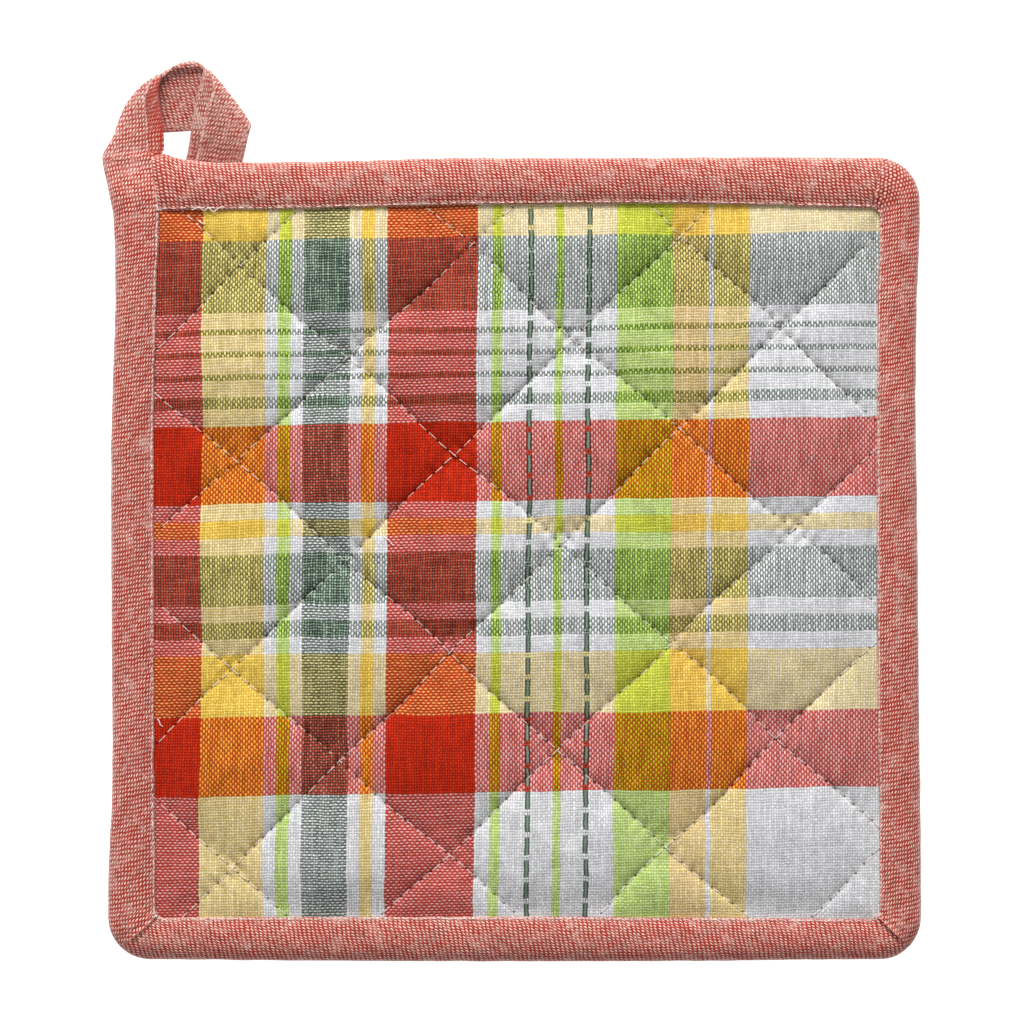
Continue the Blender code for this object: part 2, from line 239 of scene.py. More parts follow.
fullness = np.sin(pi * falling[2]) * np.sin(pi * rising[2])
fullness = (np.hypot(fullness, SEAM_SOFTNESS) - SEAM_SOFTNESS) ** PUFF_ROUNDNESS
seam_numbers = [places[2] for places in seam_places]
fullness *= 1 + FULLNESS_SPREAD * np.sin(seam_numbers[0] * 2.3 + seam_numbers[1] * 4.1)
puckers = sum(seam_puckers(*places, family) for family, places in enumerate(seam_places))
slack = sum(
    dents(plan_x / width, plan_y / length, seed) * height for width, length, seed, height in SLACK
)

# Each point on the front and the back: the front is full, and the table presses the back flat
on_rim = np.zeros(len(used), bool)
on_rim[rim.ravel()] = True
pad_x = at_points(plan_x)
pad_y = at_points(plan_y)
edge_x, edge_y, _ = to_outline(pad_x, pad_y)
pad_x = np.where(on_rim, edge_x, pad_x)
pad_y = np.where(on_rim, edge_y, pad_y)
rise = np.sin(np.clip(inside_face(pad_x, pad_y) / EDGE_RISE, 0, 1) * pi / 2)
crown = at_points(fullness) * rise
puckers = at_points(puckers) * rise**0.5
slack = at_points(slack) * crown
middle = middle_surface(pad_x, pad_y)
front_height = middle + SEWN_HALF + (PUFF_HALF - SEWN_HALF) * crown + puckers + slack
pressed = np.minimum(1.0, crown / PUFF_PRESSED)
back_height = middle - SEWN_HALF - (MIDDLE_HEIGHT - SEWN_HALF) * pressed - puckers * (1 - pressed)
back_height = np.maximum(back_height, LOWEST)

sheets = [np.stack([pad_x, pad_y, height], axis=1) for height in (front_height, back_height)]
below = len(used)
walls = np.stack([rim[:, 1], rim[:, 0], rim[:, 0] + below, rim[:, 1] + below], axis=1)
faces = np.concatenate([cells, cells[:, ::-1] + below, walls])
pad_mesh = bpy.data.meshes.new("pad")
pad_mesh.from_pydata(np.concatenate(sheets).tolist(), [], faces.tolist())
pad = bmesh.new()
pad.from_mesh(pad_mesh)
pad_places = {}
for (name, *_), (across, along, _) in zip(seam_families, seam_places):
    columns = [at_points(column) for column in (across, along, 0 * across)]
    pad_places[name] = np.tile(np.stack(columns, axis=1), (2, 1))


def add_cloth_piece(name, shape, cloth_places):
    """Triangles with normals that point out, smooth, as an object that rides on the frame.

    For its material, the mesh keeps places in the cloth by name: three numbers for each point.
    """
    shape.normal_update()
    bmesh.ops.triangulate(shape, faces=shape.faces[:], quad_method="SHORT_EDGE")
    bmesh.ops.recalc_face_normals(shape, faces=shape.faces[:])
    mesh = bpy.data.meshes.new(name)
    shape.to_mesh(mesh)
    shape.free()
    for title, places in cloth_places.items():
        layer = mesh.attributes.new(title, "FLOAT_VECTOR", "POINT")
        layer.data.foreach_set("vector", np.array(places, np.float32).ravel())
    mesh.shade_smooth()
    mesh.set_sharp_from_angle(angle=radians(75))
    piece = bpy.data.objects.new(name, mesh)
    bpy.context.scene.collection.objects.link(piece)
    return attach(piece, "root")


quilted_pad = add_cloth_piece("quilted_plaid_pad", pad, pad_places)
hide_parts("quilted_pad")


# Shader parts that the cloths share


def feed(socket, value):
    """Give a shader input a number, a colour or another node's output; None leaves it alone."""
    if isinstance(value, bpy.types.NodeSocket):
        socket.id_data.links.new(value, socket)
    elif value is not None:
        socket.default_value = value


def tree_of(values):
    """The node tree of the first socket among some values."""
    return next(value.id_data for value in values if isinstance(value, bpy.types.NodeSocket))


def place_node(kind, *values, tree=None, **settings):
    """Add a shader node, in the tree of what feeds it, and feed its inputs in their order."""
    node = (tree or tree_of(values)).nodes.new("ShaderNode" + kind)
    for setting, value in settings.items():
        setattr(node, setting, value)
    for socket, value in zip(node.inputs, values):
        feed(socket, value)
    return node


def feed_named(node, **values):
    """Feed a node's inputs by their names, with _ for a space, and give its outputs."""
    for name, value in values.items():
        feed(node.inputs[name.replace("_", " ")], value)
    return node.outputs


def reckon(operation, *values):
    """One step of arithmetic."""
    return place_node("Math", *values, operation=operation).outputs[0]


def reckon_place(operation, *places):
    """One step of arithmetic with places, all three numbers at once."""
    return place_node("VectorMath", *places, operation=operation).outputs[0]


def spread(value, low, high, new_low, new_high):
    """A value moved from one range to another, and held inside it."""
    return place_node("MapRange", value, low, high, new_low, new_high).outputs[0]


def blend_colours(share, first, second, blend_type="MIX"):
    """Two colours mixed; share is 0 for the first and 1 for the second."""
    others = [None] * 5
    kind = {"data_type": "RGBA", "blend_type": blend_type}
    return place_node("Mix", share, *others, first, second, **kind).outputs[2]


def toned(colour, *tones):
    """A colour made darker or lighter by some numbers near 1."""
    for tone in tones:
        grey = place_node("CombineColor", tone, tone, tone).outputs[0]
        colour = blend_colours(1.0, colour, grey, "MULTIPLY")
    return colour


def mottled(place, scale, detail, **settings):
    """Soft patches from 0 to 1, about as many to a unit of length as the scale says."""
    return place_node("TexNoise", place, None, scale, detail, **settings).outputs[0]


def start_group(name, **inputs):
    """A node group's inputs: each has a first value, a number, three for a place or a colour."""
    group = bpy.data.node_groups.new(name, "ShaderNodeTree")
    for title, value in inputs.items():
        kind = {1: "NodeSocketFloat", 3: "NodeSocketVector", 4: "NodeSocketColor"}[np.size(value)]
        title = title.replace("_", " ")
        group.interface.new_socket(title, in_out="INPUT", socket_type=kind).default_value = value
    return group.nodes.new("NodeGroupInput").outputs


def finish_group(**results):
    """Give a group its outputs, each named as its result, with _ for a space."""
    group = tree_of(results.values())
    for title, result in results.items():
        kind = {"VALUE": "NodeSocketFloat", "RGBA": "NodeSocketColor"}[result.type]
        group.interface.new_socket(title.replace("_", " "), in_out="OUTPUT", socket_type=kind)
    feed_named(group.nodes.new("NodeGroupOutput"), **results)
    return group


def use_group(group, **values):
    """Place a group in a material, and feed its inputs by their names."""
    node = place_node("Group", tree=tree_of(values.values()), node_tree=group)
    return feed_named(node, **values)


THICK_PLACE_YARNS = 12.0  # how far along a yarn its thick and thin places are apart
THICK_COVER = 0.28
WEAVE_DEPTH = 0.00014


def build_plain_weave():
    """Over and under, one by one. Places are counted in yarns: across the warp and the weft.

    Where a yarn is thick it hides more of those that it crosses.
    """
    first_widths = {"Warp_Width": 0.80, "Weft_Width": 0.55}
    given = start_group("plain_weave", Warp_Place=0, Weft_Place=0, **first_widths)
    tops = []
    numbers = []
    for own, other, sign in (("Warp", "Weft", 0.5), ("Weft", "Warp", -0.5)):
        across = given[own + " Place"]
        along = given[other + " Place"]
        yarn = reckon("FLOOR", across)
        from_middle = reckon("SUBTRACT", reckon("FRACT", across), 0.5)
        over_under = reckon("COSINE", reckon("MULTIPLY", yarn, pi))
        crossing = reckon("SINE", reckon("MULTIPLY", along, pi))
        wave = reckon("MULTIPLY", reckon("MULTIPLY", over_under, crossing), sign)
        out = reckon("DIVIDE", reckon("MULTIPLY", from_middle, 2), given[own + " Width"])
        round_top = reckon("SUBTRACT", 1, reckon("MULTIPLY", out, out))
        round_top = reckon("SQRT", reckon("MAXIMUM", round_top, 0))
        gap = reckon("LESS_THAN", round_top, 0.02)
        top = reckon("MULTIPLY_ADD", round_top, 0.8, wave)
        along_yarn = reckon("DIVIDE", along, THICK_PLACE_YARNS)
        own_lane = reckon("MULTIPLY_ADD", yarn, 3.7, 80 * sign)
        place = place_node("CombineXYZ", along_yarn, own_lane).outputs[0]
        thick = mottled(place, 1.0, 2.0, noise_dimensions="2D")
        thick = spread(thick, 0.3, 0.7, -THICK_COVER, THICK_COVER)
        tops.append(reckon("MULTIPLY_ADD", gap, -0.6, reckon("ADD", top, thick)))
        numbers.append(yarn)
    cell = place_node("CombineXYZ", *numbers).outputs[0]
    cell_tone = place_node("TexWhiteNoise", cell, noise_dimensions="2D").outputs[0]
    return finish_group(
        Warp_On_Top=reckon("GREATER_THAN", *tops),
        Height=spread(reckon("MAXIMUM", *tops), -0.4, 1.3, 0, 1),
        Warp_Number=numbers[0],
        Weft_Number=numbers[1],
        Cell_Tone=reckon("MULTIPLY_ADD", cell_tone, 0.16, 0.92),
    )


def build_yarn_tone():
    """Cotton yarn is uneven: each yarn differs a little, and has thin and thick places."""
    given = start_group("yarn_tone", Yarn_Number=0, Along=0, Seed=0, Slub_Length=10)
    own_seed = reckon("ADD", given["Yarn Number"], given["Seed"])
    yarn = place_node("TexWhiteNoise", None, own_seed, noise_dimensions="1D").outputs[0]
    along = reckon("DIVIDE", given["Along"], given["Slub Length"])
    place = place_node("CombineXYZ", along, reckon("MULTIPLY", own_seed, 3.7)).outputs[0]
    slub = spread(mottled(place, 1.0, 2.0, noise_dimensions="2D"), 0.3, 0.7, -0.08, 0.08)
    return finish_group(Tone=reckon("ADD", reckon("MULTIPLY_ADD", yarn, 0.10, 0.95), slub))


DEPTH_SHADE_FROM = 0.88  # painted shade: how much darker a dark yarn is made where it sinks between pale ones


def build_crossing_colour():
    """The upper yarn as it looks over the one below, and the shade deep between them.

    Painted light off a strongly coloured yarn below tints pale yarns, by the share given. The slate
    yarn is dark, so it gets a painted highlight at its crown and painted shade on its flanks.
    """
    plain = (1, 1, 1, 1)
    given = start_group(
        "crossing_colour", Height=0, Warp_On_Top=0, Warp_Colour=plain, Weft_Colour=plain, Tinting=0
    )
    height = given["Height"]
    warp = given["Warp Colour"]
    weft = given["Weft Colour"]
    upper = blend_colours(given["Warp On Top"], weft, warp)
    lower = blend_colours(given["Warp On Top"], warp, weft)
    light = place_node("RGBToBW", upper).outputs[0]
    other_light = place_node("RGBToBW", lower).outputs[0]
    deep = blend_colours(1.0, upper, lower, "MULTIPLY")
    deep = toned(deep, reckon("MULTIPLY_ADD", light, 0.45, 0.54))
    # Painted shade on a dark yarn between pale ones; a pale yarn over dark ones gets a little
    # painted light
    depth_shade = reckon("POWER", reckon("DIVIDE", light, other_light), 0.20)
    depth_shade = spread(depth_shade, DEPTH_SHADE_FROM, 1.05, DEPTH_SHADE_FROM, 1.05)
    _, strong, bright = place_node("SeparateColor", upper, mode="HSV").outputs
    bright_below = place_node("SeparateColor", lower, mode="HSV").outputs[2]
    dark_upper = spread(bright, 0.32, 0.42, 1, 0)
    # Painted highlight at the crown of a dark yarn, and painted shade on its flanks
    crown = reckon("MULTIPLY_ADD", reckon("POWER", height, 3.0), 2.15, 0.22)
    crown = reckon("MULTIPLY_ADD", reckon("SUBTRACT", crown, 1.0), dark_upper, 1.0)
    strong = spread(strong, 0.3, 0.9, 0, 0.75)
    strength = reckon("MAXIMUM", strong, spread(bright_below, 0.3, 0.5, 0, 1.15))
    # Painted light off the yarn below tints the upper one
    tint = reckon("MULTIPLY", reckon("MULTIPLY_ADD", dark_upper, 0.75, light), given["Tinting"])
    upper = blend_colours(reckon("MULTIPLY", tint, strength), upper, lower, "COLOR")
    upper = toned(upper, reckon("MULTIPLY", depth_shade, crown))
    return finish_group(Colour=blend_colours(spread(height, 0.22, 0.96, 0, 1), deep, upper))


def build_cotton_fibres():
    """Fibres that stand out of the yarns: they roughen both the weave's relief and its gloss."""
    given = start_group("cotton_fibres", Place=(0, 0, 0), Weave_Height=0)
    fibres = mottled(given["Place"], 6.0, 3.0)
    return finish_group(
        Relief=reckon("MULTIPLY_ADD", fibres, 0.25, given["Weave Height"]),
        Roughness=spread(fibres, 0.3, 0.7, 0.80, 0.95),
    )


plain_weave = build_plain_weave()
yarn_tone = build_yarn_tone()
crossing_colour = build_crossing_colour()
cotton_fibres = build_cotton_fibres()


def strayed(place, *sways):
    """Places in millimetres, moved about as yarns are; each sway is scale, detail and distance."""
    moved = place
    for scale, detail, distance in sways:
        sway = place_node("TexNoise", place, None, scale, detail).outputs[1]
        sway = reckon_place("ADD", sway, (-0.5, -0.5, -0.5))
        sway = reckon_place("MULTIPLY", sway, (distance, distance, 0))
        moved = reckon_place("ADD", moved, sway)
    return place_node("SeparateXYZ", moved).outputs[:2]


def yarn_colour(woven, number, colour, along, seed, slub_length):
    """The colour of one set of yarns, as uneven as cotton is."""
    values = {"Yarn_Number": woven[number], "Along": along, "Seed": seed}
    tone = use_group(yarn_tone, Slub_Length=slub_length, **values)[0]
    return toned(colour, tone, woven["Cell Tone"])


def raised(height, strength=0.8, depth=WEAVE_DEPTH):
    """The normal of a fine relief, from its height as a share of its depth in metres."""
    bump = place_node("Bump", tree=height.id_data)
    return feed_named(bump, Strength=strength, Distance=depth, Height=height)[0]


def new_material(name):
    """A material, its node tree and its shader."""
    material = bpy.data.materials.new(name)
    material.use_nodes = True
    return material, material.node_tree, material.node_tree.nodes["Principled BSDF"]


def srgb(red, green, blue):
    """A colour as a monitor shows it, 0 to 255, as the linear colour that a shader takes."""
    parts = []
    for part in (red, green, blue):
        share = part / 255
        parts.append(share / 12.92 if share <= 0.04045 else ((share + 0.055) / 1.055) ** 2.4)
    return (*parts, 1.0)


# The plaid, charted from left to right and from bottom to top: the colour of each stripe
# and the number of its first yarn, counted from the middle of the pot holder

WARP_YARN_MM = 0.629
WEFT_YARN_MM = 0.694
YARNS_EACH_WAY = 160
RED = srgb(194, 45, 12)
YELLOW = srgb(229, 195, 72)
GOLD = srgb(228, 188, 76)
STRAW = srgb(224, 198, 116)
LIME = srgb(176, 208, 36)
SLATE = srgb(106, 122, 108)
WHITE = srgb(216, 216, 218)
WARP_STRIPES = (
    (-160, RED), (-122, YELLOW), (-97, WHITE), (-92, LIME), (-87, WHITE), (-82, SLATE),
    (-64, WHITE), (-59, YELLOW), (-54, WHITE), (-49, RED), (-14, WHITE), (-8, LIME), (-4, WHITE),
    (6, SLATE), (8, WHITE), (17, LIME), (20, WHITE), (29, SLATE), (31, WHITE), (41, LIME),
    (63, GOLD), (77, WHITE), (79, YELLOW), (93, WHITE),
)
WEFT_STRIPES = (
    (-160, WHITE), (-100, RED), (-72, STRAW), (-50, WHITE), (-44, SLATE), (-38, WHITE),
    (-32, SLATE), (-14, WHITE), (-8, STRAW), (-2, WHITE), (4, RED), (32, WHITE), (38, SLATE),
    (42, WHITE), (48, SLATE), (50, WHITE), (56, SLATE), (58, WHITE), (64, SLATE), (66, WHITE),
    (72, SLATE), (98, STRAW),
)
WARP_LEAN = 0.006  # the panel was not cut quite square to its threads
WEFT_LEAN = 0.0145
FLOAT_YARNS = (6.5, 29.5)  # pairs of slate warps that lie over several wefts at a time
FLOAT_REPEAT = 8  # wefts; the pair lies over six of them and under two
FLOAT_START = 5.6  # just short of the first weft that it lies over
FLOAT_SHARE = 0.75
FLOAT_TOP = 0.87
FLOAT_ROUNDNESS = -0.84
LOOSE_TINTING = 0.60
RAMP_LEAD = 0.3  # of a yarn: a ramp is read in steps, so each stripe begins a little early


def stripe_chart(number, stripes):
    """The colour of the yarn with that number. Each half of the chart has its own ramp."""
    halves = []
    for first in (-YARNS_EACH_WAY, 0):
        share = reckon("MULTIPLY_ADD", number, 1 / YARNS_EACH_WAY, (0.5 - first) / YARNS_EACH_WAY)
        node = place_node("ValToRGB", share)
        ramp = node.color_ramp
        ramp.interpolation = "CONSTANT"
        ramp.elements.remove(ramp.elements[1])
        ramp.elements[0].color = [colour for start, colour in stripes if start <= first][-1]
        for start, colour in stripes:
            if first < start < first + YARNS_EACH_WAY:
                place = (start - RAMP_LEAD - first) / YARNS_EACH_WAY
                ramp.elements.new(place).color = colour
        halves.append(node.outputs[0])
    return blend_colours(reckon("GREATER_THAN", number, -0.5), *halves)


def needle_holes(tree, name):
    """Needle holes along one family of seams, 0 to 1, which the plaid darkens with painted shade.
    """
    place = place_node("Attribute", tree=tree, attribute_name=name).outputs["Vector"]
    across, along, _ = place_node("SeparateXYZ", place).outputs
    step = reckon("DIVIDE", along, STITCH_PITCH)
    off = reckon("SUBTRACT", step, reckon("ROUND", step))
    off = reckon("MULTIPLY", off, STITCH_PITCH)
    squares = reckon("MULTIPLY", off, off)
    distance = reckon("SQRT", reckon("MULTIPLY_ADD", across, across, squares))
    return spread(distance, 0.00012, 0.00040, 1, 0)


def make_plaid_cotton():
    """Plain-weave cotton, striped both ways, with painted shade in a needle hole at every stitch.
    """
    material, tree, shader = new_material("plaid_cotton")
    place = place_node("TexCoord", tree=tree).outputs["Object"]
    place_mm = reckon_place("MULTIPLY", place, (1000, 1000, 1000))
    right, up = strayed(place_mm, (0.035, 2.0, 1.5), (0.45, 1.0, 0.45))
    across_warp = reckon("MULTIPLY_ADD", up, -WARP_LEAN, right)
    across_weft = reckon("MULTIPLY_ADD", right, -WEFT_LEAN, up)
    warp_place = reckon("DIVIDE", across_warp, WARP_YARN_MM)
    weft_place = reckon("DIVIDE", across_weft, WEFT_YARN_MM)
    woven = use_group(plain_weave, Warp_Place=warp_place, Weft_Place=weft_place)
    warp = stripe_chart(woven["Warp Number"], WARP_STRIPES)
    warp = yarn_colour(woven, "Warp Number", warp, across_weft, seed=11.3, slub_length=9.0)
    weft = stripe_chart(woven["Weft Number"], WEFT_STRIPES)
    weft = yarn_colour(woven, "Weft Number", weft, across_warp, seed=57.9, slub_length=9.0)

    on_line = 0.0
    from_middle = 0.0
    for line in FLOAT_YARNS:
        here = reckon("COMPARE", woven["Warp Number"], line, 0.6)
        off = reckon("SUBTRACT", warp_place, line + 0.5)
        from_middle = reckon("MULTIPLY_ADD", here, off, from_middle)
        on_line = reckon("ADD", on_line, here)
    step = reckon("SUBTRACT", woven["Weft Number"], FLOAT_START)
    step = reckon("FRACT", reckon("DIVIDE", step, FLOAT_REPEAT))
    lies_over = reckon("LESS_THAN", step, FLOAT_SHARE)
    plain_top = reckon("MULTIPLY", woven["Warp On Top"], reckon("SUBTRACT", 1, on_line))
    on_top = reckon("MULTIPLY_ADD", on_line, lies_over, plain_top)
    round_float = reckon("MULTIPLY", from_middle, from_middle)
    round_float = reckon("MULTIPLY_ADD", round_float, FLOAT_ROUNDNESS, FLOAT_TOP)
    is_float = reckon("MULTIPLY", on_line, lies_over)
    lifted = reckon("SUBTRACT", round_float, woven["Height"])
    colour = use_group(
        crossing_colour,
        Height=reckon("MULTIPLY_ADD", is_float, lifted, woven["Height"]),
        Warp_On_Top=on_top,
        Warp_Colour=warp,
        Weft_Colour=weft,
        Tinting=reckon("MULTIPLY_ADD", is_float, -LOOSE_TINTING, LOOSE_TINTING),
    )[0]

    holes = reckon("MAXIMUM", *[needle_holes(tree, name) for name, *_ in seam_families])
    fibres = use_group(cotton_fibres, Place=place_mm, Weave_Height=woven["Height"])
    relief = reckon("MULTIPLY_ADD", holes, -1.2, fibres["Relief"])
    feed_named(
        shader,
        # Painted shade in the needle holes
        Base_Color=toned(colour, reckon("MULTIPLY_ADD", holes, -0.75, 1)),
        Roughness=fibres["Roughness"],
        Normal=raised(relief),
        Specular_IOR_Level=0.12,
        Sheen_Weight=0.03,
        Sheen_Roughness=0.5,
    )
    return material


quilted_pad.data.materials.append(make_plaid_cotton())


# ---------------------------------------------------------------------------
# Quilting stitches: pale thread, about eight stitches to 25 mm, through front,
# filling and back. Each stitch lies on the seam and dives at a needle hole.
# ---------------------------------------------------------------------------

THREAD_RADIUS = 0.00010
THREAD_SIDES = 6
STITCH_REST = 0.00012  # of thread over the sewn cloth
STITCH_DIVE = 0.00045
HOLE_HALF = 0.00062  # bare cloth on each side of a needle hole
HOLE_STRAY = 0.00012  # how far a needle hole is off its seam
SEAM_OVERRUN = 0.0012  # how far under the binding a seam is still sewn
HOLES_EACH_WAY = 60  # of x = 0, which is more than any seam has
# The thread in painted shade and in painted light, mixed in random patches
THREAD_SHADE = srgb(214, 197, 187)
THREAD_PALE = srgb(240, 230, 221)
TWIST_DEPTH = 0.00006


def stitch_path(start, end, up):
    """A stitch between two needle holes: it dips in, lies flat and dips out again."""
    run = (end - start).normalized()
    low_start = start + run * HOLE_HALF * 0.5 - up * STITCH_DIVE
    low_end = end - run * HOLE_HALF * 0.5 - up * STITCH_DIVE
    rest = up * STITCH_REST
    lies_from = start + run * HOLE_HALF * 1.5 + rest
    lies_to = end - run * HOLE_HALF * 1.5 + rest
    first = start + run * HOLE_HALF + rest * 0.2
    last = end - run * HOLE_HALF + rest * 0.2
    top = (lies_from + lies_to) / 2 + rest * 0.3
    return [low_start, first, lies_from, top, lies_to, last, low_end]


def join_rings(shape, rings):
    """The faces of a tube: each ring of points joined to the next."""
    for ring, following in zip(rings, rings[1:]):
        for corner, vert in enumerate(ring):
            after = (corner + 1) % len(ring)
            shape.faces.new((vert, ring[after], following[after], following[corner]))


def add_thread(shape, path, radius):
    """A round thread along a path, narrower at its ends and closed."""
    rings = []
    last = len(path) - 1
    for step, point in enumerate(path):
        run = (path[min(last, step + 1)] - path[max(0, step - 1)]).normalized()
        side = run.cross(Vector((0.31, 0.17, 0.93))).normalized()
        top = side.cross(run)
        width = radius * (0.75 if step in (0, last) else 1)
        ring = []
        for corner in range(THREAD_SIDES):
            angle = 2 * pi * corner / THREAD_SIDES
            ring.append(shape.verts.new(point + width * (cos(angle) * side + sin(angle) * top)))
        rings.append(ring)
    join_rings(shape, rings)
    shape.faces.new(rings[0][::-1])
    shape.faces.new(rings[-1])


def sewn_place(x, y, side):
    """A place on a seam, on the front (side 1) or the back (side -1) of the sewn cloth."""
    return Vector((x, y, middle_surface(x, y) + side * SEWN_HALF))


def add_seam_stitches(shape, line, flip, family, seam):
    """All the stitches of one seam, front and back, between the bound edges."""
    offset, slope = line[0], flip * line[1]
    length = sqrt(1 + slope * slope)
    for count in range(-HOLES_EACH_WAY, HOLES_EACH_WAY):
        ends = []
        for hole, way in ((count, 1), (count + 1, -1)):
            ruled_x = (hole + stitch_phase(family, seam)) * STITCH_PITCH / length
            aside = way * HOLE_STRAY * noise.noise((hole * 0.83, seam * 3.0, family * 9.0))
            ends.append(wander(ruled_x - aside * slope, offset + slope * ruled_x + aside))
        if min(inside_face(*end) for end in ends) > -SEAM_OVERRUN:
            for side in (1, -1):
                start, end = (sewn_place(*end, side) for end in ends)
                add_thread(shape, stitch_path(start, end, Vector((0, 0, side))), THREAD_RADIUS)


def finish_thread(shape, name):
    """Make one piece of all the thread in a shape."""
    piece = add_cloth_piece(name, shape, {})
    piece.data.materials.append(cotton_thread)


def make_cotton_thread():
    """Pale spun thread, a little darker in the twist, with random patches of painted shade."""
    material, tree, shader = new_material("cotton_thread")
    place = place_node("TexCoord", tree=tree).outputs["Object"]
    painted_shade_patches = mottled(place, 900.0, 2.0)
    twist = place_node("TexWave", place, 2600.0, 1.5, 2.0, bands_direction="DIAGONAL").outputs[1]
    feed_named(
        shader,
        Base_Color=blend_colours(spread(painted_shade_patches, 0.35, 0.65, 0, 1), THREAD_SHADE, THREAD_PALE),
        Roughness=spread(painted_shade_patches, 0.3, 0.7, 0.60, 0.85),
        Normal=raised(twist, 0.6, TWIST_DEPTH),
        Specular_IOR_Level=0.3,
    )
    return material


cotton_thread = make_cotton_thread()
quilting = bmesh.new()
for family, (_, lines, _, flip) in enumerate(seam_families):
    for seam, line in enumerate(lines):
        add_seam_stitches(quilting, line, flip, family, seam)
finish_thread(quilting, "quilting_stitches")


# ---------------------------------------------------------------------------
# Binding: one strip of red and white chambray, cut on the bias, hems turned in
# and folded over the edge of the pad. It starts at the left end of the top
# edge and runs right, down, left and up. The bottom corners are mitred.
# ---------------------------------------------------------------------------

# Where its outer and inner edges run along each side: place along the side, outer, inner
TOP_EDGE = (
    (-0.0890, 0.0877, 0.0748), (-0.0860, 0.0886, 0.0746), (-0.0835, 0.0877, 0.0746),
    (-0.0805, 0.0870, 0.0747), (-0.0753, 0.0865, 0.0748), (-0.0623, 0.0864, 0.0748),
    (-0.0301, 0.0871, 0.0756), (-0.0152, 0.0876, 0.0760), (0.0269, 0.0876, 0.0764),
    (0.0591, 0.0878, 0.0761), (0.0864, 0.0877, 0.0753),
)
RIGHT_EDGE = (
    (0.0710, 0.1012, 0.0913), (0.0524, 0.1005, 0.0908), (0.0276, 0.1002, 0.0906),
    (-0.0021, 0.1006, 0.0906), (-0.0467, 0.1010, 0.0908), (-0.0876, 0.1015, 0.0913),
)
BOTTOM_EDGE = (
    (0.0839, -0.1110, -0.1010), (0.0442, -0.1114, -0.1007), (-0.0028, -0.1115, -0.1005),
    (-0.0549, -0.1113, -0.1006), (-0.0846, -0.1110, -0.1007),
)
LEFT_EDGE = (
    (-0.0925, -0.1000, -0.0883), (-0.0678, -0.0990, -0.0886), (-0.0219, -0.0992, -0.0887),
    (0.0202, -0.0992, -0.0887), (0.0524, -0.0982, -0.0881), (0.0735, -0.0986, -0.0873),
    (0.0821, -0.1003, -0.0880), (0.0871, -0.1013, -0.0886),
)
SIDES = (TOP_EDGE, RIGHT_EDGE, BOTTOM_EDGE, LEFT_EDGE)
TOP_START = (-0.0893, -0.0874)  # at its outer and inner edge, beside the left side's strip
LEFT_END = (0.0871, 0.0871)
CORNER_RADII = (0.0105, 0.0025)  # of the outer edge and the inner one
BINDING_STEP = 0.0011
STEPS_PER_CORNER = 26
STRIP_WIDTH = 0.0118
CLOTH_HALF = 0.00016
EDGE_STITCH_PITCH = 0.0024
LOWEST_CLOTH = 0.0001  # of the binding and the loop, over the table

# The strip's path across the edge, from the raw edge of the front hem to that of the back one:
# how far in from the outer edge, as a share of the strip's width, and how high in metres
FRONT_PATH = (
    (0.45, 0.00170), (0.65, 0.00168), (0.85, 0.00160), (0.95, 0.00152), (0.990, 0.00154),
    (1.000, 0.00172), (0.993, 0.00194), (0.972, 0.00205), (0.948, 0.00206), (0.905, 0.00222),
    (0.850, 0.00250), (0.780, 0.00274), (0.690, 0.00290), (0.580, 0.00298), (0.460, 0.00298),
    (0.350, 0.00287), (0.250, 0.00264), (0.165, 0.00228), (0.100, 0.00183), (0.050, 0.00131),
    (0.018, 0.00072),
)
BACK_PATH = tuple((inward, -height) for inward, height in reversed(FRONT_PATH))
EDGE_PATH = (*FRONT_PATH, (0.0, 0.0), *BACK_PATH)

# Along each side: the way that the strip runs, and the way out from the pad
DIRECTIONS = (Vector((1, 0)), Vector((0, -1)), Vector((-1, 0)), Vector((0, 1)))
OUTWARD = (Vector((0, 1)), Vector((1, 0)), Vector((0, -1)), Vector((-1, 0)))
LEAVES_PAD = (0.0770, 0.0871)  # where the strip runs off the pad's top edge and goes flat
END_FLATNESS = 0.27
MITRED = (False, True, True)
MITRE_RISE = 0.00055
PUFF_RISE = 0.00022
GATHER_TURN = 0.08  # how far round the eased corner its surplus is gathered into a small fold
GATHER_RISE = 0.00042
SOFT_WRINKLE = 0.00024
FINE_WRINKLE = 0.00010
STITCH_DRAW = 0.00010  # how deep the edge stitches pull the strip in
EDGE_SWAY = 0.00018
HEM_WEAR = 0.62
# The outer fold's paleness is partly wear and partly painted highlight
FOLD_WEAR_AND_HIGHLIGHT = 0.46
PATCH_WEAR = 0.25


def clamp(value, low=0.0, high=1.0):
    """A value held between two others."""
    return max(low, min(high, value))


def smooth_at(values, index, share):
    """A smooth curve through values in a row, read a share of the way from one to the next."""
    last = len(values) - 1
    before, start, end, after = (values[clamp(index + step, 0, last)] for step in (-1, 0, 1, 2))
    slope_in = (end - before) / 2
    slope_out = (after - start) / 2
    square = share * share
    cube = square * share
    return (
        (2 * cube - 3 * square + 1) * start
        + (cube - 2 * square + share) * slope_in
        + (3 * square - 2 * cube) * end
        + (cube - square) * slope_out
    )


def edge_place(rows, along, column):
    """Read a side's outer (1) or inner (2) edge at a place along it."""
    flip = copysign(1, rows[-1][0] - rows[0][0])
    index = 0
    while index < len(rows) - 2 and (along - rows[index + 1][0]) * flip > 0:
        index += 1
    share = clamp((along - rows[index][0]) / (rows[index + 1][0] - rows[index][0]))
    return smooth_at([row[column] for row in rows], index, share)


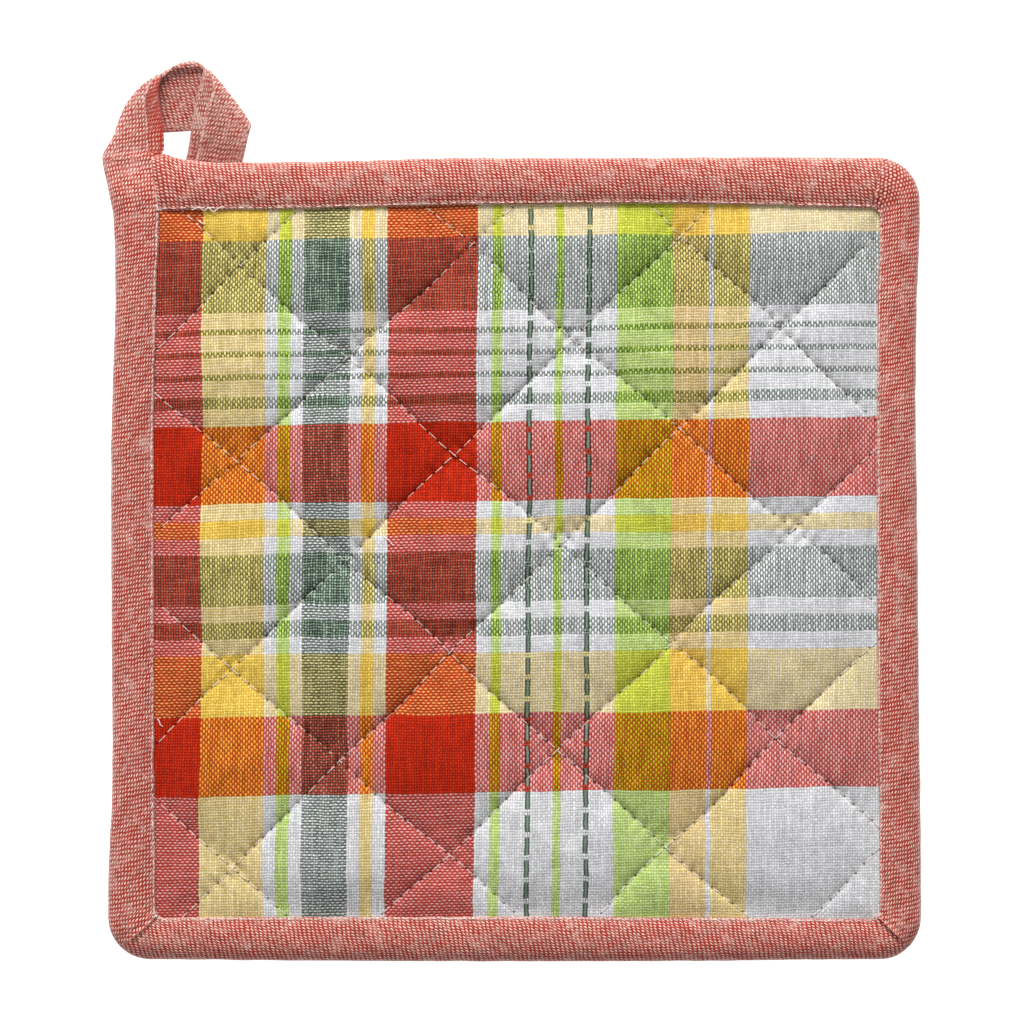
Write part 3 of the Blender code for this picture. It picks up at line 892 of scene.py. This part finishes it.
def side_stations(number, starts, ends):
    """Pairs of outer and inner edge points along one side, between two such pairs of places."""
    steps = round(abs(ends[0] - starts[0]) / BINDING_STEP)
    places = list(range(steps + 1))
    if number == 0:
        places[:2] = [0, 0.2, 0.4, 0.65, 1, 1.35, 1.7]  # closer at the folded end
    stations = []
    for step in places:
        pair = []
        for column, (start, end) in enumerate(zip(starts, ends), 1):
            along = start + (end - start) * step / steps
            place = edge_place(SIDES[number], along, column)
            pair.append(Vector((place, along) if number % 2 else (along, place)))
        stations.append(pair)
    return stations


def corner_stations(number, shares):
    """Pairs round the corner after a side: a wide outer arc and a tight inner one."""
    out, next_out = OUTWARD[number : number + 2]
    edges = list(zip(sides[number][-1], sides[number + 1][0], CORNER_RADII))
    stations = []
    for share in shares:
        arm = cos(share * pi / 2) * out + sin(share * pi / 2) * next_out
        pair = []
        for before, after, radius in edges:
            far = before.dot(out) * out + after.dot(next_out) * next_out
            pair.append(far + radius * (arm - out - next_out))
        stations.append(pair)
    return stations


def short_of(row):
    """Where a side's edges stop for a corner, from the nearest row of the side round it."""
    return [far - copysign(radius, far) for far, radius in zip(row[1:], CORNER_RADII)]


side_starts = [TOP_START, *(short_of(rows[-1]) for rows in SIDES[:-1])]
side_ends = [*(short_of(rows[0]) for rows in SIDES[1:]), LEFT_END]
sides = [side_stations(*side) for side in zip(range(4), side_starts, side_ends)]
plain_shares = [step / STEPS_PER_CORNER for step in range(1, STEPS_PER_CORNER)]
mitre_shares = sorted({*plain_shares, 0.485, 0.495, 0.505, 0.515} - {0.5})
gather_shares = sorted({*plain_shares, GATHER_TURN - 0.006, GATHER_TURN + 0.006})
turn_shares = [mitre_shares if mitred else gather_shares for mitred in MITRED]
turns = [corner_stations(*turn) for turn in enumerate(turn_shares)]


def strip_outline(path, width, cloth_half=CLOTH_HALF):
    """Both faces of the strip round its path: inward share, height and place across the strip.

    The place across is measured over the outer edge, where it is 0; the front is positive.
    """
    points = [Vector((inward * width, height)) for inward, height in path]
    lengths = [0.0]
    for start, end in zip(points, points[1:]):
        lengths.append(lengths[-1] + (end - start).length)
    outermost = len(points) // 2
    normals = []
    for index in range(len(points)):
        run = points[min(index + 1, len(points) - 1)] - points[max(index - 1, 0)]
        normals.append(Vector((-run.y, run.x)).normalized())
    outline = []
    for face, order in ((1, range(len(points))), (-1, reversed(range(len(points))))):
        for index in order:
            point = points[index] - face * cloth_half * normals[index]
            across = lengths[outermost] - lengths[index]
            outline.append((point.x / width, point.y, across))
    return outline


binding_outline = strip_outline(EDGE_PATH, STRIP_WIDTH)

# Each ring of the strip: its edges, the side it belongs to, where that side's strip starts, how
# far round a corner it is, and for the eased corner where the strip enters and leaves it
rings = []
base = -TOP_START[1]
for number, side in enumerate(sides):
    direction = DIRECTIONS[number]
    rings.extend((outer, inner, number, base, 0.0, None) for outer, inner in side)
    if number == len(turns):
        break
    following = DIRECTIONS[number + 1]
    after = sides[number + 1][0]
    eased = None
    if MITRED[number]:
        next_base = base + side[-1][1].dot(direction) + 2 * CORNER_RADII[1]
        next_base -= after[1].dot(following)
    else:
        next_base = base + side[-1][0].dot(direction) + CORNER_RADII[0] * pi / 2
        next_base -= after[0].dot(following)
        entry = [base + edge.dot(direction) for edge in side[-1]]
        eased = entry, [next_base + edge.dot(following) for edge in after]
    for share, (outer, inner) in zip(turn_shares[number], turns[number]):
        part = (number, base) if share < 0.5 or eased else (number + 1, next_base)
        rings.append((outer, inner, *part, share, eased))
    base = next_base
strip_run = base + sides[-1][-1][1].dot(DIRECTIONS[-1])


def strip_place(ring, inward, across):
    """How far along the strip and across it a point of a ring is, in metres."""
    outer, inner, number, base, turn, eased = ring
    flat = outer.lerp(inner, inward)
    along = base + flat.dot(DIRECTIONS[number])
    if eased:
        (enters, enters_inside), (leaves, leaves_inside) = eased
        arc = (CORNER_RADII[0] + (CORNER_RADII[1] - CORNER_RADII[0]) * inward) * pi / 2
        if turn < GATHER_TURN:
            along = enters + (enters_inside - enters) * inward + arc * turn
        else:
            along = leaves + (leaves_inside - leaves) * inward - arc * (1 - turn)
    elif turn > 0:
        end = sides[number][-1] if turn < 0.5 else sides[number][0]
        width = (end[0] - end[1]).dot(OUTWARD[number])
        short = (1 - inward) * width - (flat - end[1]).dot(OUTWARD[number])
        across += short if across > 0 else -short
    return along, across


def ramp(value, start, end):
    """0 before start, 1 after end, and a soft rise between them."""
    share = clamp((value - start) / (end - start))
    return share * share * (3 - 2 * share)


def near(value, place, reach):
    """1 at a place, and softly down to 0 beyond its reach."""
    return exp(-(((value - place) / reach) ** 2))


def fold_lines(ring, inward):
    """Height that the folds in a corner add, and how worn the cloth is on them."""
    turn = ring[4]
    if turn == 0:
        return 0.0, 0.0
    full = ramp(inward, 0.05, 0.55)
    if ring[5]:
        past = turn - GATHER_TURN
        gather = 0.7 * near(past, 0.09, 0.05) - near(past, 0, 0.035)
        small = sin(turn * 34) * near(turn, 0.45, 0.25) * max(0.0, inward - 0.45)
        return GATHER_RISE * (gather * full + small), 0.0
    past = turn - 0.5
    puffs = PUFF_RISE * sin(turn * 29) * near(past, 0, 0.3) * full
    if past < 0:
        return MITRE_RISE * exp(past / 0.12) * full + puffs, 0.6 * exp(past / 0.04) * full
    return -0.30 * MITRE_RISE * exp(-past / 0.05) * full + puffs, 0.0


def binding_wrinkles(along, across, inward):
    """How much the strip swells or sinks at a place, from the way a bias strip pulls."""
    slant = along + 0.6 * abs(across)
    soft = noise.noise((slant / 0.011, across / 0.006, 2.0)) * SOFT_WRINKLE
    fine = noise.noise((slant / 0.0035, across / 0.004, 5.0)) * FINE_WRINKLE
    drawn = -cos(2 * pi * along / EDGE_STITCH_PITCH) * STITCH_DRAW * near(inward, 0.95, 0.05)
    return (soft + fine) * clamp((1.02 - inward) / 0.12) + drawn


def end_taper(distance):
    """The folded end at the start of the strip: a rounded fold, then the seam that holds it."""
    fold = min(1.0, 0.42 + 0.5 * (distance / 0.0007) ** 0.5)
    return fold - 0.20 * near(distance, 0.0013, 0.0006)


def strip_wear_and_highlight(along, inward, across):
    """How rubbed the cloth is at the sewn edge and on the outer fold, which also has a painted
    highlight.
    """
    at_hem = clamp((inward - 0.93) / 0.04)
    fold_wear_and_highlight = near(across, 0, 0.0016)
    patch = noise.noise((along / 0.006, across / 0.003, 31.0))
    paleness = HEM_WEAR * at_hem * (0.9 + patch) + FOLD_WEAR_AND_HIGHLIGHT * fold_wear_and_highlight
    return paleness + PATCH_WEAR * max(0.0, patch)


binding = bmesh.new()
binding_loops = []
binding_places = []
for ring in rings:
    outer, inner, number, _, turn, _ = ring
    from_end = inner.x - TOP_START[1] if number == 0 and turn == 0 else 1.0
    leaving = ramp(outer.y, *LEAVES_PAD) if number == 3 and turn == 0 else 0.0
    taper = end_taper(from_end) * (1 - (1 - END_FLATNESS) * leaving)
    loop = []
    for inward, height, across in binding_outline:
        along, cloth_across = strip_place(ring, inward, across)
        face = 1 if height > 0 else -1
        swell = binding_wrinkles(along, across, inward) * (1 - leaving) if from_end > 0.003 else 0.0
        fold, paleness = fold_lines(ring, inward)
        on_skin = min(1.0, abs(across) / 0.003)
        rise = height * taper + face * (swell + fold) * on_skin
        sway_in = EDGE_SWAY * noise.noise((along / 0.006, face * 3.0, 8.0))
        flat = outer.lerp(inner, inward) + (outer - inner).normalized() * sway_in
        z = max(LOWEST_CLOTH, float(middle_surface(flat.x, flat.y)) + rise)
        loop.append(binding.verts.new((flat.x, flat.y, z)))
        # Wear, with the painted highlight along the outer fold
        wear_and_highlight = clamp(strip_wear_and_highlight(along, inward, across) + paleness + 0.22 * leaving)
        binding_places.append((along, cloth_across, wear_and_highlight))
    binding_loops.append(loop)

# The same points as vectors, for the threads that lie on the strip
binding_rings = [[vert.co.copy() for vert in loop] for loop in binding_loops]


def finish_strip(shape, name, loops, cloth_places):
    """Make a piece of a folded strip, keeping the places in the cloth, its wear and painted
    highlight.
    """
    join_rings(shape, loops)
    # The cut edge at each end: a row of narrow faces between the two sides of the cloth
    for loop, order in ((loops[0], -1), (loops[-1], 1)):
        for index in range(len(loop) // 2 - 1):
            face = (loop[index], loop[index + 1], loop[-2 - index], loop[-1 - index])
            shape.faces.new(face[::order])
    piece = add_cloth_piece(name, shape, {"strip_place": cloth_places})
    piece.data.materials.append(red_chambray)
    return piece


WHITE_YARN_ANGLE = (0.944, -1.441)  # yarns in a millimetre along the strip and across it
RED_YARN_ANGLE = (0.896, 1.118)
CHAMBRAY_RED = srgb(174, 43, 31)
CHAMBRAY_WHITE = srgb(236, 209, 192)
# Pale of rubbed cloth, which along the folds is partly painted highlight
RUBBED_AND_HIGHLIT_WHITE = srgb(222, 190, 180)
HEM_RED = srgb(178, 46, 30)
TIGHT_TINTING = 0.46


def make_red_chambray():
    """Red yarn one way, white the other, slanting across the strip; edges rubbed and painted
    highlit.
    """
    material, tree, shader = new_material("red_chambray")
    place = place_node("Attribute", tree=tree, attribute_name="strip_place").outputs["Vector"]
    place_mm = reckon_place("MULTIPLY", place, (1000, 1000, 0))
    wear_and_highlight = place_node("SeparateXYZ", place).outputs[2]
    along, across = strayed(place_mm, (0.30, 1.0, 0.9))
    counts = []
    for by_along, by_across in (WHITE_YARN_ANGLE, RED_YARN_ANGLE):
        first = reckon("MULTIPLY", along, by_along)
        counts.append(reckon("MULTIPLY_ADD", across, by_across, first))
    woven = use_group(
        plain_weave, Warp_Place=counts[0], Weft_Place=counts[1], Warp_Width=0.64, Weft_Width=0.94
    )
    white = yarn_colour(woven, "Warp Number", CHAMBRAY_WHITE, counts[1], seed=3.1, slub_length=14.0)
    red = yarn_colour(woven, "Weft Number", CHAMBRAY_RED, counts[0], seed=78.2, slub_length=14.0)
    colour = use_group(
        crossing_colour,
        Height=woven["Height"],
        Warp_On_Top=woven["Warp On Top"],
        Warp_Colour=white,
        Weft_Colour=red,
        Tinting=TIGHT_TINTING,
    )[0]
    heather = spread(mottled(place_mm, 0.45, 2.0), 0.3, 0.7, -0.30, 0.30)
    scuffs = spread(mottled(place_mm, 0.22, 2.0), 0.54, 0.74, 0, 0.6)
    fluff = spread(mottled(place_mm, 1.6, 3.0), 0.42, 0.62, 0.15, 1.0)
    # Rubbed cloth turns pale; along the folds part of that paleness is painted highlight
    rubbed_and_highlit = reckon("ADD", reckon("MAXIMUM", wear_and_highlight, 0.0), scuffs)
    rubbed_and_highlit = reckon("MAXIMUM", reckon("ADD", rubbed_and_highlit, heather), 0.0)
    rubbed_and_highlit = reckon("MINIMUM", reckon("MULTIPLY", rubbed_and_highlit, fluff), 0.8)
    colour = blend_colours(rubbed_and_highlit, colour, RUBBED_AND_HIGHLIT_WHITE)

    # Wear below 0 marks the hem that was never rubbed, streaked along the strip
    unworn = spread(wear_and_highlight, -1.0, 0.0, 1.0, 0.0)
    drawn_out = reckon_place("MULTIPLY", place_mm, (0.12, 1.5, 0))
    streaks = spread(mottled(drawn_out, 1.0, 2.0), 0.40, 0.58, 0.1, 1.0)
    fibres = use_group(cotton_fibres, Place=place_mm, Weave_Height=woven["Height"])
    feed_named(
        shader,
        Base_Color=blend_colours(reckon("MULTIPLY", streaks, unworn), colour, HEM_RED),
        Roughness=fibres["Roughness"],
        Normal=raised(fibres["Relief"]),
        Specular_IOR_Level=0.16,
        Sheen_Weight=0.40,
        Sheen_Roughness=0.35,
    )
    return material


red_chambray = make_red_chambray()
chambray_binding = finish_strip(binding, "chambray_binding", binding_loops, binding_places)
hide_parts("binding")


# ---------------------------------------------------------------------------
# Hanging loop: the tail of the same strip, folded lengthwise to four layers and
# laid over twice on the slant, so its middle shows the back of the strip. Its
# end is sewn in behind the top edge.
# ---------------------------------------------------------------------------

# From where it leaves the pad to its sewn end: a point on its outer edge and one beside the eye
TAPE_ROWS = (
    ((-0.1014, 0.0880, 0.0045), (-0.0875, 0.0882, 0.0046)),
    ((-0.1011, 0.0890, 0.0044), (-0.0864, 0.0898, 0.0045)),
    ((-0.1007, 0.0899, 0.0042), (-0.0864, 0.0933, 0.0047)),
    ((-0.1001, 0.0910, 0.0039), (-0.0870, 0.0990, 0.0050)),
    ((-0.0995, 0.0920, 0.0036), (-0.0875, 0.1039, 0.0055)),
    ((-0.0988, 0.0930, 0.0032), (-0.0871, 0.1070, 0.0056)),
    ((-0.0983, 0.0942, 0.0020), (-0.0869, 0.1087, 0.0046)),
    ((-0.0969, 0.0936, 0.0009), (-0.0849, 0.1101, 0.0036)),
    ((-0.0921, 0.0942, 0.0008), (-0.0834, 0.1109, 0.0034)),
    ((-0.0829, 0.0948, 0.0008), (-0.0812, 0.1116, 0.0033)),
    ((-0.0735, 0.0955, 0.0008), (-0.0789, 0.1118, 0.0034)),
    ((-0.0665, 0.0960, 0.0009), (-0.0771, 0.1112, 0.0036)),
    ((-0.0649, 0.0959, 0.0020), (-0.0761, 0.1102, 0.0046)),
    ((-0.0650, 0.0949, 0.0031), (-0.0763, 0.1086, 0.0056)),
    ((-0.0654, 0.0937, 0.0031), (-0.0772, 0.1054, 0.0055)),
    ((-0.0658, 0.0923, 0.0029), (-0.0783, 0.1012, 0.0050)),
    ((-0.0663, 0.0901, 0.0023), (-0.0795, 0.0943, 0.0038)),
    ((-0.0669, 0.0880, 0.0015), (-0.0805, 0.0896, 0.0021)),
    ((-0.0677, 0.0851, 0.0009), (-0.0818, 0.0849, 0.0009)),
    ((-0.0701, 0.0757, 0.0009), (-0.0841, 0.0760, 0.0009)),
)
TAPE_STEPS = 7
TAPE_CLOTH_HALF = 0.00014
FIRST_FOLD = 7.0  # row of each slanting fold, counted from the last ring of the binding
SECOND_FOLD = 13.0
FIRST_FOLD_BOW = Vector((-0.0016, 0.0011, 0))
SECOND_FOLD_BOW = Vector((0.0002, 0.0003, 0))
RIM_HEIGHT = 0.00085  # the strip's back stands up along the eye edge, between the folds
HEM_POINTS = 5  # points of the strip's outline, from each raw edge, that are in its hem
HEM_UNWORN = -0.75

# The folded tape's path, as for the binding: share of its width, and height
TAPE_PATH = (
    (0.40, 0.00014), (0.60, 0.00014), (0.80, 0.00014), (0.93, 0.00014), (0.985, 0.00017),
    (1.000, 0.00028), (0.985, 0.00039), (0.950, 0.00042), (0.905, 0.00043), (0.875, 0.00043),
    (0.790, 0.00043), (0.700, 0.00043), (0.600, 0.00043), (0.500, 0.00043), (0.400, 0.00043),
    (0.300, 0.00043), (0.220, 0.00043), (0.150, 0.00042), (0.090, 0.00039), (0.045, 0.00031),
    (0.015, 0.00017),
)

# The three straight lengths of the tape: a place on the outer edge of each, the way it runs, the
# middle of the fold after it, and how far along the strip it starts
TAPE_EDGES = (Vector((-0.1012, 0.0880)), Vector((-0.0829, 0.0948)), Vector((-0.0658, 0.0923)))
TAPE_RUNS = [Vector((cos(angle), sin(angle))) for angle in (pi / 2, radians(4), radians(255))]
FOLD_MIDDLES = (Vector((-0.0927, 0.1011)), Vector((-0.0706, 0.1030)))
tape_bases = [rings[-1][3]]
for middle, before, after in zip(FOLD_MIDDLES, TAPE_RUNS, TAPE_RUNS[1:]):
    tape_bases.append(tape_bases[-1] + middle.dot(before) - middle.dot(after))


def tape_place(row, flat, inward, across, width, hem):
    """How far along the strip and across it a point of the loop is, in unfolded cloth."""
    length = (row >= FIRST_FOLD) + (row >= SECOND_FOLD)
    run = TAPE_RUNS[length]
    to_eye = Vector((run.y, -run.x)) * (-1 if length == 1 else 1)
    moved = ((flat - TAPE_EDGES[length]).dot(to_eye) - inward * width) * ramp(row, 0.0, 4.0)
    if (across < 0) != hem:
        moved = -moved
    return tape_bases[length] + flat.dot(run), across + moved


def tape_section(row):
    """The path across the folded strip, which has come off the pad and lies flat after two rows."""
    pressed = ramp(row, 0.0, 2.6)
    front_leg = 0.74 + 0.02 * ramp(row, 6, 13) + 0.06 * ramp(row, 14, 18)
    front_leg += (0.94 - front_leg) * (near(row, FIRST_FOLD, 0.9) + near(row, SECOND_FOLD, 0.8))
    rim = ramp(row, FIRST_FOLD - 0.2, FIRST_FOLD + 0.8)
    rim *= 1 - ramp(row, SECOND_FOLD - 0.8, SECOND_FOLD + 0.2)
    path = []
    for face, leg in ((1, front_leg), (-1, 1.0)):
        half = []
        for (bound_in, bound_height), (flat_in, flat_height) in zip(FRONT_PATH, TAPE_PATH):
            inward = bound_in + (flat_in * leg - bound_in) * pressed
            height = bound_height * END_FLATNESS
            height += (flat_height - height) * pressed
            if face < 0 and flat_height > 0.00030:
                height += rim * RIM_HEIGHT * ramp(flat_in, 0.88, 0.90)
            half.append((inward, face * height))
        path.append(half)
    return path[0] + [(0.0, 0.0)] + path[1][::-1], front_leg


def on_middle(place):
    """A place of the plan, at the height of the middle of the filling."""
    return (*place, float(middle_surface(*place)))


last_edges = rings[-1][:2]
one_before = [edge - Vector((0, BINDING_STEP)) for edge in last_edges]
tape_rows = [[on_middle(edge) for edge in pair] for pair in (one_before, last_edges)]
tape_rows = np.array([*tape_rows, *TAPE_ROWS])
tape_stations = []
for index in range(1, len(tape_rows) - 1):
    for step in range(TAPE_STEPS):
        place = smooth_at(tape_rows, index, step / TAPE_STEPS)
        tape_stations.append((index - 1 + step / TAPE_STEPS, *map(Vector, place)))
tape_stations.append((len(tape_rows) - 2, *map(Vector, tape_rows[-1])))

tape = bmesh.new()
tape_loops = []
tape_places = []
tape_run = strip_run
for index, (row, outer, eye) in enumerate(tape_stations):
    before = tape_stations[max(0, index - 1)]
    after = tape_stations[min(len(tape_stations) - 1, index + 1)]
    tape_run += ((outer + eye) / 2 - (before[1] + before[2]) / 2).length
    run = (after[1] + after[2]) - (before[1] + before[2]) if index else Vector((0, 1, 0))
    upright = (eye - outer).cross(run).normalized()
    bow = FIRST_FOLD_BOW * near(row, FIRST_FOLD, 1) + SECOND_FOLD_BOW * near(row, SECOND_FOLD, 1)
    creased = 0.3 * (near(row, FIRST_FOLD, 0.6) + near(row, SECOND_FOLD, 0.6))
    soft = ramp(row, 0.0, 1.8)
    width = (eye - outer).length
    loop = []
    section, front_leg = tape_section(row)
    last_point = len(section) - 1
    for corner, (inward, height, across) in enumerate(
        strip_outline(section, width, TAPE_CLOTH_HALF)
    ):
        swell = noise.noise((tape_run / 0.006, across / 0.005, 12.0)) * 0.00016 * soft
        flat = outer.lerp(eye, inward) + bow * sin(pi * min(1.0, inward))
        place = flat + upright * (height + swell)
        place.z = max(LOWEST_CLOTH, place.z)
        loop.append(tape.verts.new(place))
        point = corner % len(section)
        hem = min(point, last_point - point) < HEM_POINTS
        along, cloth_across = tape_place(row, flat.xy, inward, across, width, hem)
        on_front = height > 0.0002 and corner <= last_point
        at_crease = 0.85 * ramp(inward, front_leg - 0.07, front_leg - 0.01) if on_front else 0.0
        at_edge = 0.5 * ramp(inward, 0.95, 1.0)
        patch = noise.noise((tape_run / 0.004, across / 0.003, 17.0))
        paleness = (max(at_crease, at_edge) * (0.7 + patch) + creased) * soft
        # The outer fold has a painted highlight; the whole loop is made a little paler than the
        # binding, and its right limb past the second fold paler still, as painted light
        paleness += strip_wear_and_highlight(tape_run, 0.5, across) + 0.20 + 0.12 * ramp(row, 12, 14)
        if height < 0.0009 and inward > front_leg + 0.02 and row < FIRST_FOLD - 0.5:
            paleness = HEM_UNWORN * soft
        tape_places.append((along, cloth_across, clamp(paleness, -1.0)))
    tape_loops.append(loop)
loop_tape = finish_strip(tape, "loop_tape", tape_loops, tape_places)
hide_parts("hanging_loop")


# ---------------------------------------------------------------------------
# Edge stitching: pale thread through the binding close to its inner edge, front
# and back, worked back over itself near the start of the strip. A few thread
# ends are left loose on the front.
# ---------------------------------------------------------------------------

FRONT_STITCH_LINE = 7  # points of the strip's outline that the needle went through
BACK_STITCH_LINE = 35
EDGE_STITCH_GAP = 0.0011
EDGE_THREAD_RADIUS = 0.00010
TACK_RADIUS = 0.00014
LOOSE_RADIUS = 0.00016
LOOSE_HEIGHT = 0.00010  # of a thread's middle over the pad, where it comes out
LOOSE_RISE = 0.00004  # from each point of it to the next
TACK_HEIGHT = 0.00225
TACK_RISE = 0.00015  # of every second point
STITCH_UNEVEN = 0.0005
BACK_TACK = (
    (-0.0790, 0.0745), (-0.0772, 0.0751), (-0.0760, 0.0743), (-0.0749, 0.0750), (-0.0737, 0.0741),
    (-0.0727, 0.0747), (-0.0716, 0.0753), (-0.0706, 0.0750),
)
CORNER_TANGLES = (
    (
        (-0.0893, -0.0997), (-0.0886, -0.1004), (-0.0880, -0.0999), (-0.0876, -0.1007),
        (-0.0869, -0.1003), (-0.0873, -0.1012),
    ),
    (
        (0.0896, -0.0996), (0.0906, -0.1003), (0.0912, -0.0997), (0.0922, -0.1004),
        (0.0930, -0.0999),
    ),
    (
        (-0.0881, 0.0757), (-0.0875, 0.0751), (-0.0878, 0.0744), (-0.0870, 0.0747),
        (-0.0864, 0.0742),
    ),
)
LOOSE_ENDS = (
    (
        (-0.0313, -0.0001), (-0.0317, -0.0012), (-0.0316, -0.0024), (-0.0322, -0.0034),
        (-0.0331, -0.0041),
    ),
    (
        (-0.0318, -0.0058), (-0.0312, -0.0067), (-0.0303, -0.0071), (-0.0296, -0.0080),
        (-0.0293, -0.0083),
    ),
    ((-0.0878, -0.0512), (-0.0873, -0.0519), (-0.0870, -0.0528), (-0.0864, -0.0533)),
    ((-0.0777, 0.0722), (-0.0771, 0.0717), (-0.0764, 0.0712), (-0.0758, 0.0711)),
)

# A stitch on the strip: share of its length, and height over the cloth in millimetres
STITCH_SHAPE = ((0, -0.30), (0.1, -0.04), (0.3, 0.05), (0.7, 0.05), (0.9, -0.04), (1, -0.30))


def stitch_on_strip(shape, line, up):
    """Stitches along a row of points on the strip; up is 1 on the front and -1 on the back."""
    points = np.array(line)
    lengths = np.concatenate([[0], np.cumsum(np.linalg.norm(np.diff(points, axis=0), axis=1))])
    for number in range(int(lengths[-1] / EDGE_STITCH_PITCH)):
        uneven = STITCH_UNEVEN * noise.noise((number * 0.71, up, 6.0))
        start = number * EDGE_STITCH_PITCH + EDGE_STITCH_GAP / 2 + uneven
        end = (number + 1) * EDGE_STITCH_PITCH - EDGE_STITCH_GAP / 2 - uneven
        path = []
        for share, rise in STITCH_SHAPE:
            at = [np.interp(start + (end - start) * share, lengths, column) for column in points.T]
            path.append(Vector(at) + Vector((0, 0, up * rise / 1000)))
        add_thread(shape, path, EDGE_THREAD_RADIUS)


def front_at(x, y, rise):
    """A place a little over the pad's front."""
    nearest = np.argmin((pad_x - x) ** 2 + (pad_y - y) ** 2)
    return Vector((x, y, front_height[nearest] + rise))


edge_stitching = bmesh.new()
last_seam_ring = len(binding_rings) - 2
for line, up in ((FRONT_STITCH_LINE, 1), (BACK_STITCH_LINE, -1)):
    stitch_on_strip(edge_stitching, [ring[line] for ring in binding_rings[2:last_seam_ring]], up)
for tack in (BACK_TACK, *CORNER_TANGLES):
    rough = []
    for step, (x, y) in enumerate(tack):
        height = middle_surface(x, y) + TACK_HEIGHT + TACK_RISE * (step % 2)
        rough.append(Vector((x, y, height)))
    steps = [(step, part / 4) for step in range(len(rough) - 1) for part in range(4)]
    add_thread(edge_stitching, [smooth_at(rough, *step) for step in steps], TACK_RADIUS)
for loose in LOOSE_ENDS:
    rises = [LOOSE_HEIGHT + LOOSE_RISE * step for step in range(len(loose))]
    path = [front_at(*place, rise) for place, rise in zip(loose, rises)]
    add_thread(edge_stitching, path, LOOSE_RADIUS)
finish_thread(edge_stitching, "edge_stitching")


# ---------------------------------------------------------------------------
# Table and light: a plain white table and the soft light of a large window
# beyond the top edge, with a weak one from above to fill the shade.
# ---------------------------------------------------------------------------

TABLE_HALF = 3
TABLE_GAP = 0.0002  # between the table and the back of the pad
TABLE_GLOW = 0.95

floor_mesh = bpy.data.meshes.new("table_top")
corners = [(x * TABLE_HALF, y * TABLE_HALF, 0) for x, y in ((-1, -1), (1, -1), (1, 1), (-1, 1))]
floor_mesh.from_pydata(corners, [], [(0, 1, 2, 3)])
floor = bpy.data.objects.new("table_top", floor_mesh)
bpy.context.scene.collection.objects.link(floor)
floor.location.z = -TABLE_GAP
table_white, _, table_shader = new_material("table_white")
feed_named(
    table_shader,
    Base_Color=(0.5, 0.5, 0.5, 1),
    Roughness=0.9,
    Specular_IOR_Level=0.1,
    Emission_Color=(1, 1, 1, 1),
    Emission_Strength=TABLE_GLOW,
)
floor_mesh.materials.append(table_white)


def add_window(name, place, size, power):
    """A soft square lamp that is turned to the pot holder."""
    lamp = bpy.data.lights.new(name, "AREA")
    lamp.size = size
    lamp.energy = power
    holder = bpy.data.objects.new(name, lamp)
    holder.location = place
    holder.rotation_euler = (-holder.location).to_track_quat("-Z", "Y").to_euler()
    bpy.context.scene.collection.objects.link(holder)


add_window("window_beyond_top", (-0.12, 1.70, 1.00), size=0.90, power=58.0)
add_window("soft_overhead", (-0.45, 0.05, 1.2), size=1.2, power=3.9)

room = bpy.data.worlds.new("room")
room.use_nodes = True
room.node_tree.nodes["Background"].inputs[0].default_value = (1, 1, 1, 1)
room.node_tree.nodes["Background"].inputs[1].default_value = 0.25
bpy.context.scene.world = room
bpy.context.scene.view_settings.view_transform = "Standard"
